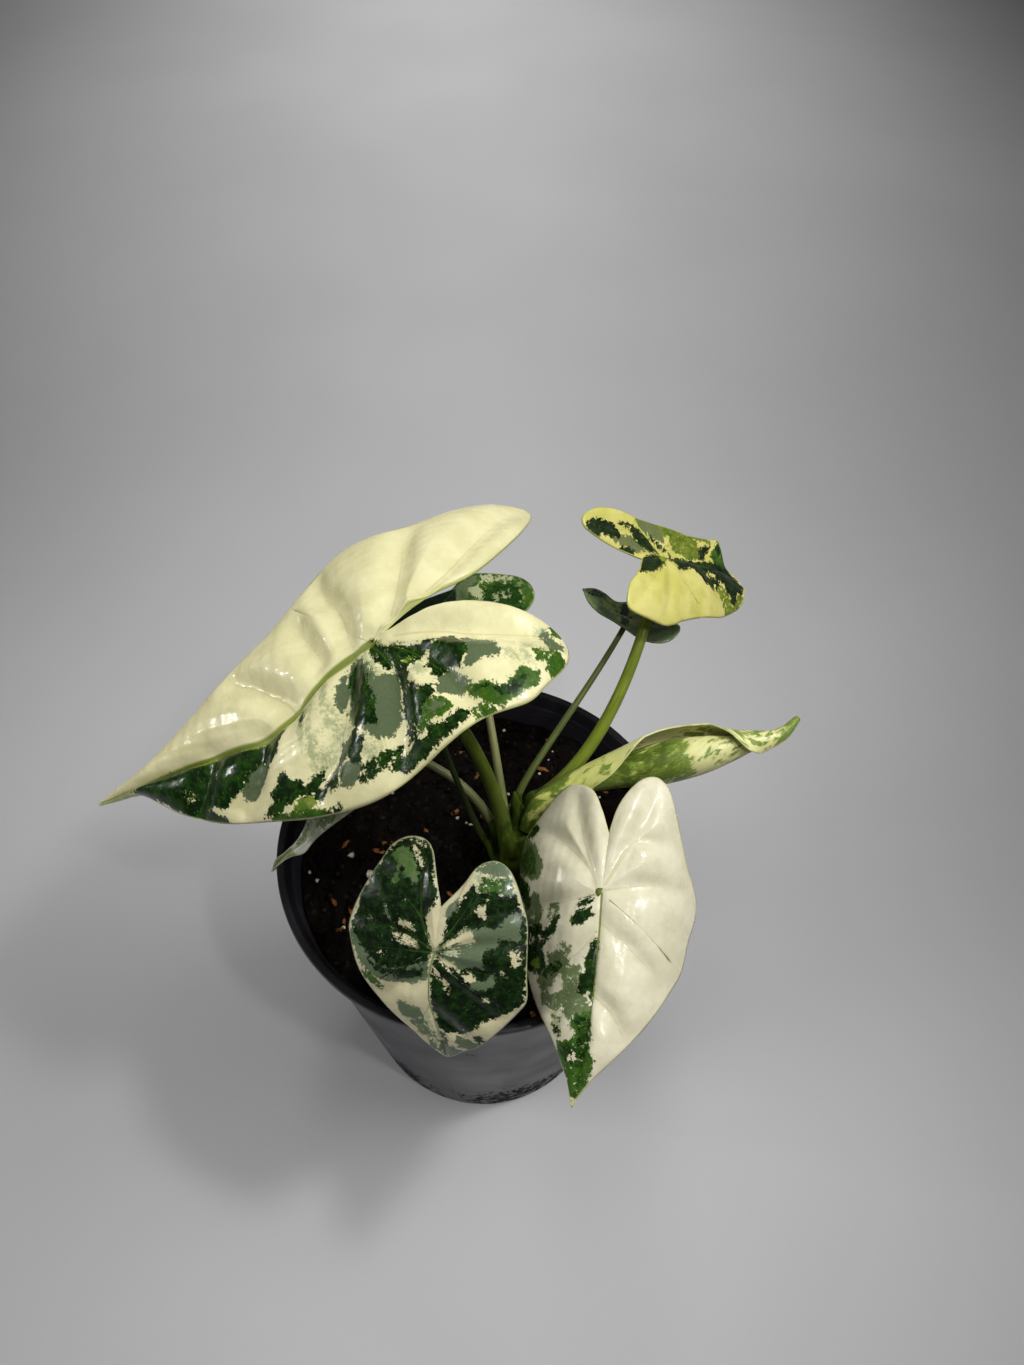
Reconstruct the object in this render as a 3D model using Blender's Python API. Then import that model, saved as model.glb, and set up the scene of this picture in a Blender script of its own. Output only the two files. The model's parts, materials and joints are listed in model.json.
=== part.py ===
"""A potted variegated frydek alocasia: nursery pot, potting soil, crown, petioles and blades.

Lengths below are in millimetres; the finished objects are in metres, standing on z = 0.
"""
import math
import random

import bmesh
import bpy
import numpy as np
from mathutils import Matrix, Vector

MM = 0.001
GAP = 0.35  # air left between neighbouring pieces

# Pot
RIM_RADIUS = 80.0
POT_HEIGHT = 155.0
FOOT_RADIUS = 57.5
WALL = 1.4
FLOOR_TOP = 3.8
LIP_DEPTH = 5.0
WALL_INSET = 3.9  # how far the top of the wall stands inside the lip
POT_SIDES = 64
FEET = 6
FIRST_FOOT = -95.0  # bearing of the first foot in degrees
NOTCH_HEIGHT = 1.9
NOTCH_REACH = 32.0
NOTCH_WIDTH = 38.0
DRAIN_RADIUS = 4.5
DRAIN_INSET = 9.0  # from the foot's edge to the middle of a drain hole

# Soil and crown
SOIL_TOP = 140.0
CROWN_BASE = (15.5, -15.0)
CROWN_TOP = (15.0, -7.0)
CROWN_ROOT_Z = 124.5
CROWN_HOLE_RADIUS = 10.8
CROWN_NECK_Z = 178.0
CROWN_RINGS = [(0.0, 7.6), (0.2, 8.8), (0.36, 9.0), (0.55, 8.2), (0.78, 7.2), (0.9, 6.0)]  # share up, radius
SHEATH_TIP = [(15.5, -5.5, 168), (15.2, -4, 180), (15, -3, 187), (14.8, -2.2, 191)]
SHEATH_TIP_RADII = [2.4, 1.9, 1.1, 0.35]
SOIL_SIDES = 40
GRAINS = 20
GRAIN_SPACING = 9.0
GRAIN_SPOTS = [(-44, -6), (-52, 3), (-34, -22), (-28, 1), (-9, 22), (-51, -22), (30, 40)]

# Leaves
BLADE_THICKNESS = 0.9
LEAST_HALF_WIDTH = 0.8
CREASE_RADIUS = 2.5  # how far from the midrib a fold takes to open
SWAY_REACH = 15.0  # how far from the midrib its wandering fades
VEIN_LEAN = 0.75  # how far a lateral vein runs towards the tip for each millimetre outwards
SHEATH_END = 0.10  # share of each petiole's line that belongs to the crown

# Each leaf: the point where the petiole meets the blade, the direction of the tip (heading, rise and
# roll in degrees), the length before and behind that point, how the midrib bends, how far each half
# folds and curls, how far the midrib wanders sideways (along, across), and the half outlines from the
# tip round the rear lobe to the notch (across, along).
LEAVES = {
    "1": dict(
        attach=(-30.8, 14.6, 257.5), heading=205, rise=-33.5, roll=16.3, length=150.5, back=64.5,
        droop=0, back_droop=59, sweep=42.3, twist=20.6,
        fold=(-14.2, 11.5), curl=(-11.2, -5.4), notch=4,
        sway=[(-4, 2), (0, 2.5), (10, 4), (21, 3.4), (30, 0.2), (38, -2.6), (46, -4.4), (55, -3), (63, -0.5),
              (76, 2.6), (92, 4.1), (106, 4.1), (118, 3), (132, 2.4), (150, 0.4)],
        right=[(5.6, 136), (9.6, 120), (17.5, 100), (24.2, 80), (31.5, 60), (37.5, 40), (44.5, 20),
               (48.8, 0), (46.8, -14), (43, -30), (46, -45), (49, -62), (47.3, -72.6), (34, -66.5),
               (20, -54.5), (9.5, -40), (6, -24), (3.6, -12)],
        left=[(-1, 136), (-1.2, 124), (0.8, 115), (10, 100), (20.3, 80), (29, 60), (38.7, 40), (46, 20),
              (48, 0), (47.7, -20), (47.4, -40), (42, -51), (34.5, -62), (28, -64.5), (20, -60),
              (12.5, -50), (5.5, -34), (1, -20), (-1, -8)],
        ribs=9, columns=6, quilt=2.8, wave=0.6,
        petiole=((7.1, -3.4, 209.7), (-6.9, 9.0, 239.7)), base=(10.9, -14.5, 178), radii=(2.9, 2.0)),
    "2": dict(
        attach=(1.5, 57, 223), heading=188, rise=-18, roll=0, length=44, back=27,
        droop=15, back_droop=10, sweep=0, twist=0,
        fold=(8, 8), curl=(-15, -15), notch=7,
        sway=[(-22, -8), (-7, 0), (44, 0)],
        right=[(4, 36), (8.5, 27), (12, 18), (15, 10), (18, 4), (21.2, 0), (22.4, -4.5), (20.5, -9.5),
               (17, -16), (13, -22.5), (8, -26), (2, -26.8), (-3, -24.5), (-6.5, -20), (-4, -13)],
        left=[(3.5, 37), (9, 28), (14.5, 18), (18.5, 8), (20, -1), (19.5, -9), (16.5, -15.5), (13, -18.5),
              (9.5, -17.5), (5.5, -13.5)],
        ribs=5, columns=4, quilt=0.6, wave=0.4,
        petiole=((9.0, 5.8, 198.7), (5.6, 35.9, 213.2)), base=(11.3, -8.8, 180), radii=(1.8, 1.3)),
    "3": dict(
        attach=(78.2, 69.3, 236.1), heading=22, rise=-28, roll=-4, length=52.2, back=38.2,
        droop=18, back_droop=6, sweep=3, twist=-11.7,
        fold=(18.8, -16.4), curl=(23.8, -27), notch=12,
        sway=[(-12, -0.8), (0, -2.8), (20, -2.2), (32, -3.4), (42, -2.4), (52, 0)],
        right=[(5, 49.3), (10, 46.7), (14, 41.5), (20, 28), (23.3, 8), (24.6, 1), (26.3, -4),
               (26.8, -11), (22.5, -23), (18.5, -27), (11, -24), (6.5, -18.5)],
        left=[(3.2, 47), (5, 41), (8, 39.2), (13, 37.8), (16.6, 35.5), (16, 31), (15.1, 19), (16.4, 4),
              (19, -7.5), (22, -17.2), (22, -26.8), (18.5, -34.4), (14, -35), (9.5, -29), (5, -20.5)],
        ribs=7, columns=5, quilt=0.7, wave=0.5,
        petiole=((49, 5.5, 192), (68.5, 43.2, 219.4)), base=(21.5, 4.0, 173), radii=(2.9, 1.9)),
    "4": dict(
        attach=(65.3, 62.9, 212.2), heading=166, rise=16, roll=24, length=22.3, back=17.2,
        droop=-26, back_droop=-25, sweep=11, twist=0,
        fold=(-3.7, 12.9), curl=(-7, -3), notch=6,
        sway=[(-6, 0.6), (0, 0), (22, 0)],
        right=[(6.5, 18), (9.1, 12.5), (8.4, 6.5), (11.8, 0.7), (13.6, -4.8), (11.6, -15), (7, -18.2),
               (2.6, -12)],
        left=[(5.5, 18.4), (8, 13), (8.1, 7), (9.8, 1.5), (12.3, -3.4), (13.9, -9.5), (12.6, -15.6),
              (6.5, -20), (2, -19), (0, -13)],
        ribs=4, columns=3, quilt=0.3, wave=0.2,
        petiole=((18.5, 6.5, 188), (47, 35.5, 201.5)), base=(16.5, 2.6, 179), radii=(1.6, 1.1)),
    "6": dict(
        attach=(41.4, -50.3, 198.7), heading=-100, rise=-24.3, roll=14.5, length=70.8, back=38,
        droop=11, back_droop=10, sweep=9, twist=-6,
        fold=(-9.6, -9.5), curl=(-47, -28.4), notch=20.5,
        sway=[(-20, -0.8), (0, 0), (30, -0.6), (50, -0.9), (60, 0.2), (71, 1)],
        right=[(2.6, 66), (5.2, 61), (13, 51.5), (21, 44.5), (27, 37.5), (31.5, 30), (34.5, 20), (37, 9),
               (40.5, 0), (43.3, -10), (41, -19), (32, -27.5), (20, -38), (13, -38.7), (7, -36),
               (2.8, -29)],
        left=[(1.2, 65.5), (5, 59), (11, 51.5), (20, 40.5), (27, 31), (33, 23), (36.3, 13), (41, 5),
              (41.8, -1), (38, -7), (33, -14), (29, -22.5), (25, -33), (21.5, -40), (16.5, -43.5),
              (11, -42), (6.5, -37), (3, -30)],
        ribs=7, columns=6, quilt=1.7, wave=0.5,
        petiole=((24.1, -24.3, 180.5), (34.5, -39.4, 191.2)), base=(20.0, -17.6, 168), radii=(2.2, 1.6)),
    "7": dict(
        attach=(-15.7, -64.1, 191.1), heading=-93.6, rise=-43, roll=20, length=44, back=27.4,
        droop=33, back_droop=24, sweep=-5.6, twist=0,
        fold=(1, 4.5), curl=(-16, -8), notch=15,
        sway=[(-15, -1.4), (0, 0.4), (8, 3), (18, 4.2), (26, 3.4), (34, 2.4), (44, 3.6)],
        right=[(6.6, 39), (12, 31.5), (19, 24.5), (25, 16.5), (30, 8.5), (33.3, -1), (34, -6.5), (31, -15),
               (24.5, -26.5), (22.3, -30), (20, -34.5), (15, -37.8), (9, -37.6), (5, -34), (2, -26)],
        left=[(0.5, 42), (4, 39.7), (9, 38), (14, 34.5), (20, 30), (26, 24.5), (29.8, 19), (31, 5),
              (30.8, -10), (28.5, -19), (25.5, -26.5), (22, -30.8), (17.5, -32), (12.5, -29.3),
              (8, -22.4)],
        ribs=7, columns=6, quilt=1.1, wave=0.6,
        petiole=((3.9, -28.8, 173.8), (-7.4, -49.2, 184.2)), base=(9.4, -19.0, 160), radii=(2.0, 1.4)),
    "8": dict(
        attach=(-33, 16, 199), heading=212, rise=-22, roll=0, length=68, back=26,
        droop=25, back_droop=40, sweep=0, twist=20,
        fold=(8, 8), curl=(-15, -15), notch=6,
        sway=[(20, 0), (36, -2.4), (48, -3.8), (56, -1.6), (68, 0)],
        right=[(1.1, 62), (-0.4, 56), (-1, 49), (0.8, 42), (5, 33), (9, 21), (12, 9), (12.7, -7),
               (9.4, -21), (6.5, -26), (3.6, -20), (1.4, -12)],
        left=[(1.3, 62), (3.4, 56.4), (6.8, 51), (6.9, 44), (8.4, 35), (11, 22), (13, 6), (12.7, -7),
              (9.4, -21), (6.5, -26), (3.6, -20), (1.4, -12)],
        ribs=5, columns=3, quilt=0.4, wave=0.5,
        petiole=((1.4, 3.2, 187.4), (-16.0, 11.4, 194.5)), base=(6.7, -7.2, 172), radii=(2.0, 1.4)),
    "9": dict(
        attach=(-22.6, 32, 232), heading=64, rise=-2, roll=0, length=45, back=20,
        droop=15, back_droop=10, sweep=0, twist=0,
        fold=(8, 8), curl=(-15, -15), notch=5,
        sway=[(-5, 0), (45, 0)],
        right=[(2.7, 39), (7, 30), (12, 20), (15.6, 9), (17, 0), (15, -11), (12.2, -16), (8.5, -20),
               (4.8, -16), (1.7, -9)],
        left=[(2.7, 39), (7, 30), (12, 20), (15.6, 9), (17, 0), (15, -11), (12.2, -16), (8.5, -20),
              (4.8, -16), (1.7, -9)],
        ribs=5, columns=3, quilt=0.4, wave=0.3,
        petiole=((-6.1, -5.1, 189.8), (-13, 18.2, 215.8)), base=(4.5, -11.8, 168), radii=(1.3, 1.0)),
}

# Furled young leaf: centre line, radius of the roll along it
ROLL_LINE = [(18.6, -9.1, 174.2), (23, -5, 183.5), (30, -2, 187), (45.4, 1.5, 191), (69, 4.6, 196),
             (86, 5.6, 199), (102.3, 6, 202), (114.8, 7.6, 204), (122.7, 12.7, 207)]
ROLL_RADIUS = [2.2, 3.4, 5.0, 7.2, 9.2, 8.8, 6.2, 2.9, 0.9]
ROLL_SHEET = 0.9
ROLL_TURNS = 1.18
THIN_ROLL_TURNS = 0.86  # where the roll is thinner than this radius
THIN_ROLL = 4.5
ROLL_START = -150.0  # bearing of the outer edge at the stalk in degrees, which turns to 0 at the tip
ROLL_PITCH = 1.6  # how far one turn lies inside the last
ROLL_STEPS = 22


def make_material(name, colour, roughness, metallic=0.0):
    material = bpy.data.materials.new(name)
    material.use_nodes = True
    shader = material.node_tree.nodes["Principled BSDF"]
    shader.inputs["Base Color"].default_value = (*colour, 1.0)
    shader.inputs["Roughness"].default_value = roughness
    shader.inputs["Metallic"].default_value = metallic
    material.diffuse_color = (*colour, 1.0)
    return material


def object_from(name, points, faces, material, smooth=True):
    """A mesh object from points in millimetres."""
    mesh = bpy.data.meshes.new(name)
    mesh.from_pydata([tuple(float(c) * MM for c in p) for p in points], [], faces)
    mesh.update()
    made = bpy.data.objects.new(name, mesh)
    bpy.context.scene.collection.objects.link(made)
    mesh.materials.append(material)
    work = bmesh.new()
    work.from_mesh(mesh)
    bmesh.ops.recalc_face_normals(work, faces=work.faces)
    work.to_mesh(mesh)
    work.free()
    for polygon in mesh.polygons:
        polygon.use_smooth = smooth
    return made


def apply_modifiers(target):
    """Replaces an object's mesh by the mesh that its modifiers make."""
    graph = bpy.context.evaluated_depsgraph_get()
    mesh = bpy.data.meshes.new_from_object(target.evaluated_get(graph))
    target.modifiers.clear()
    target.data = mesh


def combine(target, tools, operation):
    """One exact Boolean of the target with several tools, which are then removed."""
    group = bpy.data.collections.new(f"{target.name} tools")
    for tool in tools:
        tool.hide_render = True
        tool.display_type = "WIRE"
        group.objects.link(tool)
    boolean = target.modifiers.new("combine", "BOOLEAN")
    boolean.operation = operation
    boolean.operand_type = "COLLECTION"
    boolean.collection = group
    boolean.solver = "EXACT"
    boolean.use_self = operation == "UNION"
    apply_modifiers(target)
    for tool in tools:
        bpy.data.objects.remove(tool, do_unlink=True)
    bpy.data.collections.remove(group)


def lathe(name, profile, sides, material):
    """A closed profile of (radius, height) turned round the z axis; ends on the axis stay single."""
    points = []
    rings = []
    for radius, height in profile:
        if radius == 0:
            rings.append([len(points)])
            points.append((0, 0, height))
            continue
        rings.append(list(range(len(points), len(points) + sides)))
        for k in range(sides):
            angle = 2 * math.pi * k / sides
            points.append((radius * math.cos(angle), radius * math.sin(angle), height))
    faces = []
    for low, high in zip(rings, rings[1:] + rings[:1]):
        if len(low) == 1 and len(high) == 1:
            continue
        for k in range(sides):
            after = (k + 1) % sides
            if len(low) == 1:
                faces.append((low[0], high[after], high[k]))
            elif len(high) == 1:
                faces.append((low[k], low[after], high[0]))
            else:
                faces.append((low[k], low[after], high[after], high[k]))
    return object_from(name, points, faces, material)


def tube(name, line, radii, sides, material, end_normal=None, end_lift=0.0):
    """A round stalk along a line of points. With end_normal, its last ring lies flat across that."""
    line = np.asarray(line, float)
    tangents = np.gradient(line, axis=0)
    tangents /= np.linalg.norm(tangents, axis=1)[:, None]
    side = np.cross(tangents[0], (0.3, 1.0, 0.1))
    points = []
    for centre, tangent, radius in zip(line, tangents, radii):
        side = side - tangent * np.dot(side, tangent)
        side /= np.linalg.norm(side)
        other = np.cross(tangent, side)
        for k in range(sides):
            angle = 2 * math.pi * k / sides
            points.append(centre + radius * (math.cos(angle) * side + math.sin(angle) * other))
    if end_normal is not None:
        for k in range(len(points) - sides, len(points)):
            offset = points[k] - line[-1]
            slide = np.dot(offset, end_normal) / np.dot(tangents[-1], end_normal)
            points[k] = points[k] - tangents[-1] * slide
    points.append(line[0] - tangents[0] * end_lift)
    points.append(line[-1] + tangents[-1] * end_lift)
    rings = len(line)
    faces = []
    for i in range(rings - 1):
        for k in range(sides):
            after = (k + 1) % sides
            low = i * sides
            high = low + sides
            faces.append((low + k, low + after, high + after, high + k))
    for k in range(sides):
        after = (k + 1) % sides
        faces.append((k, len(points) - 2, after))
        faces.append(((rings - 1) * sides + k, (rings - 1) * sides + after, len(points) - 1))
    return object_from(name, points, faces, material)


def smooth_line(points, steps):
    """A smooth curve through the points, with so many steps between neighbours."""
    p = np.asarray(points, float)
    p = np.vstack([2 * p[0] - p[1], p, 2 * p[-1] - p[-2]])
    made = []
    for a, b, c, d in zip(p, p[1:], p[2:], p[3:]):
        for k in range(steps):
            t = k / steps
            made.append(0.5 * (2 * b + (c - a) * t + (2 * a - 5 * b + 4 * c - d) * t ** 2
                               + (3 * b - a - 3 * c + d) * t ** 3))
    made.append(p[-2])
    return np.array(made)


def evenly(line, count):
    """The line again, as so many points at even distances."""
    steps = np.linalg.norm(np.diff(line, axis=0), axis=1)
    along = np.concatenate([[0], np.cumsum(steps)])
    wanted = np.linspace(0, along[-1], count)
    return np.stack([np.interp(wanted, along, line[:, k]) for k in range(line.shape[1])], axis=1)


def bezier(a, b, c, d, t):
    t = np.asarray(t, float)[:, None]
    a, b, c, d = (np.asarray(v, float) for v in (a, b, c, d))
    return (1 - t) ** 3 * a + 3 * (1 - t) ** 2 * t * b + 3 * (1 - t) * t ** 2 * c + t ** 3 * d


def leaf_axes(leaf):
    """Unit vectors at the petiole's joint: towards the tip, to the right of it, and out of the face."""
    heading = math.radians(leaf["heading"])
    rise = math.radians(leaf["rise"])
    ahead = Vector((math.cos(heading) * math.cos(rise), math.sin(heading) * math.cos(rise), math.sin(rise)))
    right = Vector((math.sin(heading), -math.cos(heading), 0))
    roll = Matrix.Rotation(math.radians(leaf["roll"]), 3, ahead)
    right = roll @ right
    return np.array(ahead), np.array(right), np.array(right.cross(ahead))


def sway_at(leaf, across, along):
    """How far sideways the wandering midrib shifts a point; the shift fades towards the edges."""
    places, shifts = zip(*leaf["sway"])
    return np.interp(along, places, shifts) * np.exp(-np.abs(across) / SWAY_REACH)


def bend_leaf(leaf, across, along, lift):
    """Places flat leaf points in space: the midrib bends and sweeps, each half folds and curls."""
    ahead, right, out = leaf_axes(leaf)
    steps = (np.arange(24) + 0.5) / 24
    front = along >= 0
    reach = np.where(front, along / leaf["length"], along / leaf["back"])
    droop = np.radians(np.where(front, leaf["droop"], leaf["back_droop"]))
    sweep = np.radians(np.where(front, leaf["sweep"], 0.0))
    pitch = -droop[:, None] * reach[:, None] * steps
    yaw = sweep[:, None] * reach[:, None] * steps
    step = (along / 24)[:, None]
    spine = np.stack([(np.cos(pitch) * np.cos(yaw) * step).sum(1),
                      (np.cos(pitch) * np.sin(yaw) * step).sum(1),
                      (np.sin(pitch) * step).sum(1)], axis=1)
    pitch = -droop * reach
    yaw = sweep * reach
    beside = np.stack([-np.sin(yaw), np.cos(yaw), 0 * yaw], axis=1)
    above = np.stack([-np.sin(pitch) * np.cos(yaw), -np.sin(pitch) * np.sin(yaw), np.cos(pitch)], axis=1)
    twist = np.radians(leaf["twist"]) * np.where(front, reach, 0.0)
    turned_beside = beside * np.cos(twist)[:, None] + above * np.sin(twist)[:, None]
    turned_above = above * np.cos(twist)[:, None] - beside * np.sin(twist)[:, None]
    is_right = across >= 0
    fold = np.radians(np.where(is_right, leaf["fold"][1], leaf["fold"][0]))
    curl = np.radians(np.where(is_right, leaf["curl"][1], leaf["curl"][0])) / (0.4 * leaf["length"])
    out_to = np.abs(across)[:, None] * steps
    angle = fold[:, None] * (1 - np.exp(-out_to / CREASE_RADIUS)) + curl[:, None] * out_to
    stride = (np.abs(across) / 24)[:, None]
    flat = (np.cos(angle) * stride).sum(1) * np.sign(across) + sway_at(leaf, across, along)
    height = (np.sin(angle) * stride).sum(1) + lift
    local = spine + turned_beside * flat[:, None] + turned_above * height[:, None]
    return np.array(leaf["attach"]) + local[:, :1] * ahead + local[:, 1:2] * right + local[:, 2:] * out


def leaf_edge(leaf, side, rungs):
    """Points on one half's edge, from the tip round the rear lobe to the notch, out from the midrib."""
    tip, notch = (side * sway_at(leaf, 0.0, along) for along in (leaf["length"], -leaf["notch"]))
    outline = [(tip, leaf["length"])] + leaf["right" if side > 0 else "left"] + [(notch, -leaf["notch"])]
    edge = evenly(smooth_line(outline, 8), rungs + 1)
    across = edge[:, 0].copy()
    for _ in range(8):
        across = edge[:, 0] - side * sway_at(leaf, across, edge[:, 1])
    edge[:, 0] = np.maximum(across, LEAST_HALF_WIDTH)
    edge[0] = (0, leaf["length"])
    edge[-1] = (0, -leaf["notch"])
    return edge


def leaf_half(leaf, side, ribs, columns):
    """Flat grid of one half: rungs run from the midrib to the edge along the lateral veins."""
    rungs = 3 * ribs
    edge = leaf_edge(leaf, side, rungs)
    both = (leaf_edge(leaf, 1, rungs) + leaf_edge(leaf, -1, rungs)) / 2
    root = np.clip(both[:, 1] - VEIN_LEAN * both[:, 0], 0, None)
    root[0] = leaf["length"]
    share = np.linspace(0, 1, columns + 1)
    across = edge[:, :1] * share
    bow = 0.06 * np.abs(edge[:, :1]) * np.sin(math.pi * share) * (root[:, None] > 0)
    along = root[:, None] + (edge[:, 1:] - root[:, None]) * share - bow
    phase = np.arange(rungs + 1)[:, None] / 3
    body = np.sin(math.pi * np.clip(share, 0, 1)) ** 0.7
    puff = leaf["quilt"] * np.abs(np.sin(math.pi * phase)) * body
    ripple = leaf["wave"] * np.sin(2 * math.pi * phase * 0.45 + side) * share ** 2
    fade = np.minimum(1.0, np.minimum(np.arange(rungs + 1), rungs - np.arange(rungs + 1)) / 3)[:, None]
    lift = (puff + ripple) * fade
    return across * side, along, lift


def make_blade(key, leaf, material):
    """One blade: both halves meet on the midrib, then the sheet is given its thickness."""
    flat = []
    number = {}

    def point(side, i, j, across, along, lift):
        spot = ("spine", round(along, 4)) if j == 0 or abs(across) < 1e-6 else (side, i, j)
        if spot not in number:
            number[spot] = len(flat)
            flat.append((across, along, lift))
        return number[spot]

    faces = []
    for side in (1, -1):
        across, along, lift = leaf_half(leaf, side, leaf["ribs"], leaf["columns"])
        rungs, columns = across.shape
        for i in range(rungs - 1):
            for j in range(columns - 1):
                ring = [point(side, m, n, across[m, n], along[m, n], lift[m, n])
                        for m, n in ((i, j), (i, j + 1), (i + 1, j + 1), (i + 1, j))]
                split = ((0, 1, 2), (0, 2, 3)) if (i + j) % 2 else ((0, 1, 3), (1, 2, 3))
                for corners in split:
                    face = [ring[c] for c in corners]
                    if len(set(face)) == 3:
                        faces.append(face[::side])
    flat = np.array(flat)
    placed = bend_leaf(leaf, flat[:, 0], flat[:, 1], flat[:, 2])
    blade = object_from(f"blade_{key}", placed, faces, material)
    sheet = blade.modifiers.new("thickness", "SOLIDIFY")
    sheet.thickness = BLADE_THICKNESS * MM
    sheet.offset = 0
    sheet.use_quality_normals = True
    apply_modifiers(blade)
    return blade


def petiole_line(leaf, t):
    """Points on the petiole's centre line, which ends a little below the blade."""
    out = leaf_axes(leaf)[2]
    joint = bend_leaf(leaf, np.zeros(1), np.zeros(1), np.zeros(1))[0]
    end = joint - out * (BLADE_THICKNESS / 2 + GAP + 0.6)
    return bezier(leaf["base"], *leaf["petiole"], end, t)


def petiole_radius(leaf, t):
    low, high = leaf["radii"]
    return low + (high - low) * np.asarray(t, float) ** 0.8


def make_petiole(key, leaf, material):
    first = SHEATH_END + 1.0 / np.linalg.norm(np.array(leaf["attach"]) - np.array(leaf["base"]))
    t = np.linspace(first, 1, 11)
    return tube(f"petiole_{key}", petiole_line(leaf, t), petiole_radius(leaf, t), 8, material,
                end_normal=leaf_axes(leaf)[2])


def make_crown(material):
    """Sheathing leaf bases round one short stem, with a free sheath tip standing up from them."""
    low = np.array([*CROWN_BASE, CROWN_ROOT_Z])
    top = np.array([*CROWN_TOP, CROWN_NECK_Z])
    line = [low + (top - low) * share for share, _ in CROWN_RINGS]
    column = tube("crown", line, [radius for _, radius in CROWN_RINGS], 16, material)
    tools = []
    for key, leaf in LEAVES.items():
        t = np.linspace(0, SHEATH_END, 3)
        above = petiole_line(leaf, t)
        root = low + (top - low) * (0.45 if leaf["base"][2] < 175 else 0.62)
        middle = (root + above[0]) / 2 + 0.25 * (np.array(leaf["base"]) - [*CROWN_TOP, leaf["base"][2]])
        line = np.vstack([root, middle, above])
        grow = leaf["radii"][0]
        tools.append(tube(f"sheath {key}", line, [grow * 1.25, grow * 1.25, grow * 1.08, grow, grow],
                          8, material))
    tools.append(tube("sheath tip", SHEATH_TIP, SHEATH_TIP_RADII, 6, material))
    combine(column, tools, "UNION")
    return column


def make_furled_leaf(material):
    """A sheet rolled round itself, wide in the middle and drawn out to a point."""
    along = around = ROLL_STEPS
    line = evenly(smooth_line(ROLL_LINE, 6), along)
    sizes = smooth_line([(r, 0) for r in ROLL_RADIUS], 6)[:, 0]
    radius = np.interp(np.linspace(0, 1, along), np.linspace(0, 1, len(sizes)), sizes)
    tangents = np.gradient(line, axis=0)
    tangents /= np.linalg.norm(tangents, axis=1)[:, None]
    points = []
    for i in range(along):
        side = np.cross(tangents[i], (0, 0, 1))
        side /= np.linalg.norm(side)
        up = np.cross(side, tangents[i])
        start = math.radians(ROLL_START - ROLL_START * i / (along - 1))
        pitch = min(ROLL_PITCH, 0.22 * radius[i])
        turns = ROLL_TURNS if radius[i] > THIN_ROLL else THIN_ROLL_TURNS
        for k in range(around + 1):
            share = k / around
            angle = start - 2 * math.pi * turns * share
            reach = radius[i] - pitch * turns * share
            points.append(line[i] + reach * (math.cos(angle) * up + math.sin(angle) * side))
    faces = []
    row = around + 1
    for i in range(along - 1):
        for k in range(around):
            a = i * row + k
            faces.append((a, a + row, a + 1))
            faces.append((a + 1, a + row, a + row + 1))
    leaf = object_from("furled_leaf", points, faces, material)
    sheet = leaf.modifiers.new("thickness", "SOLIDIFY")
    sheet.thickness = ROLL_SHEET * MM
    sheet.offset = 0
    apply_modifiers(leaf)
    return leaf


def box(name, size, matrix, material):
    made = object_from(name, [(x, y, z) for x in (-0.5, 0.5) for y in (-0.5, 0.5) for z in (-0.5, 0.5)],
                       [(0, 1, 3, 2), (4, 6, 7, 5), (0, 4, 5, 1), (2, 3, 7, 6), (0, 2, 6, 4), (1, 5, 7, 3)],
                       material, smooth=False)
    made.data.transform(Matrix.Diagonal((*size, 1)))
    made.data.transform(matrix)
    return made


def make_pot(material):
    """Tapering thin wall with a narrow turned lip; drain holes open into notches round its foot."""
    rim_wall = RIM_RADIUS - WALL_INSET
    lip_base = POT_HEIGHT - LIP_DEPTH
    profile = [
        (0, 0), (FOOT_RADIUS - 0.6, 0),
        (FOOT_RADIUS, 1.0), (rim_wall, lip_base), (RIM_RADIUS - 0.5, lip_base + 1.2),
        (RIM_RADIUS, lip_base + 2.2), (RIM_RADIUS, POT_HEIGHT - 0.7), (RIM_RADIUS - 0.7, POT_HEIGHT),
        (RIM_RADIUS - 2.6, POT_HEIGHT), (RIM_RADIUS - 3.2, POT_HEIGHT - 0.8),
        (rim_wall - WALL, lip_base - 0.6), (FOOT_RADIUS - 1.4, FLOOR_TOP + 1.4),
        (FOOT_RADIUS - 2.8, FLOOR_TOP), (0, FLOOR_TOP),
    ]
    pot = lathe("pot", profile, POT_SIDES, material)
    cutters = []
    for k in range(FEET):
        turn = Matrix.Rotation(math.radians(FIRST_FOOT + (k + 0.5) * 360 / FEET), 4, "Z")
        place = turn @ Matrix.Translation((FOOT_RADIUS * MM, 0, 0))
        cutters.append(box(f"notch {k}", (NOTCH_REACH, NOTCH_WIDTH, 2 * NOTCH_HEIGHT), place, material))
        hole = object_from(f"drain {k}", *prism(DRAIN_RADIUS, 12, 12), material, smooth=False)
        hole.data.transform(turn @ Matrix.Translation(((FOOT_RADIUS - DRAIN_INSET) * MM, 0, 3 * MM)))
        cutters.append(hole)
    combine(pot, cutters, "DIFFERENCE")
    return pot


def prism(radius, height, sides):
    """Points and faces of an upright round prism about the origin."""
    points = []
    for z in (-height / 2, height / 2):
        for k in range(sides):
            angle = 2 * math.pi * k / sides
            points.append((radius * math.cos(angle), radius * math.sin(angle), z))
    faces = [tuple(range(sides)), tuple(range(2 * sides - 1, sides - 1, -1))]
    for k in range(sides):
        after = (k + 1) % sides
        faces.append((k, after, sides + after, sides + k))
    return points, faces


def inner_wall(z):
    """The pot's inner radius at a height."""
    low, high = FLOOR_TOP + 1.4, POT_HEIGHT - LIP_DEPTH - 0.6
    narrow, wide = FOOT_RADIUS - 1.4, RIM_RADIUS - WALL_INSET - WALL
    return narrow + (wide - narrow) * (z - low) / (high - low)


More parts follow.
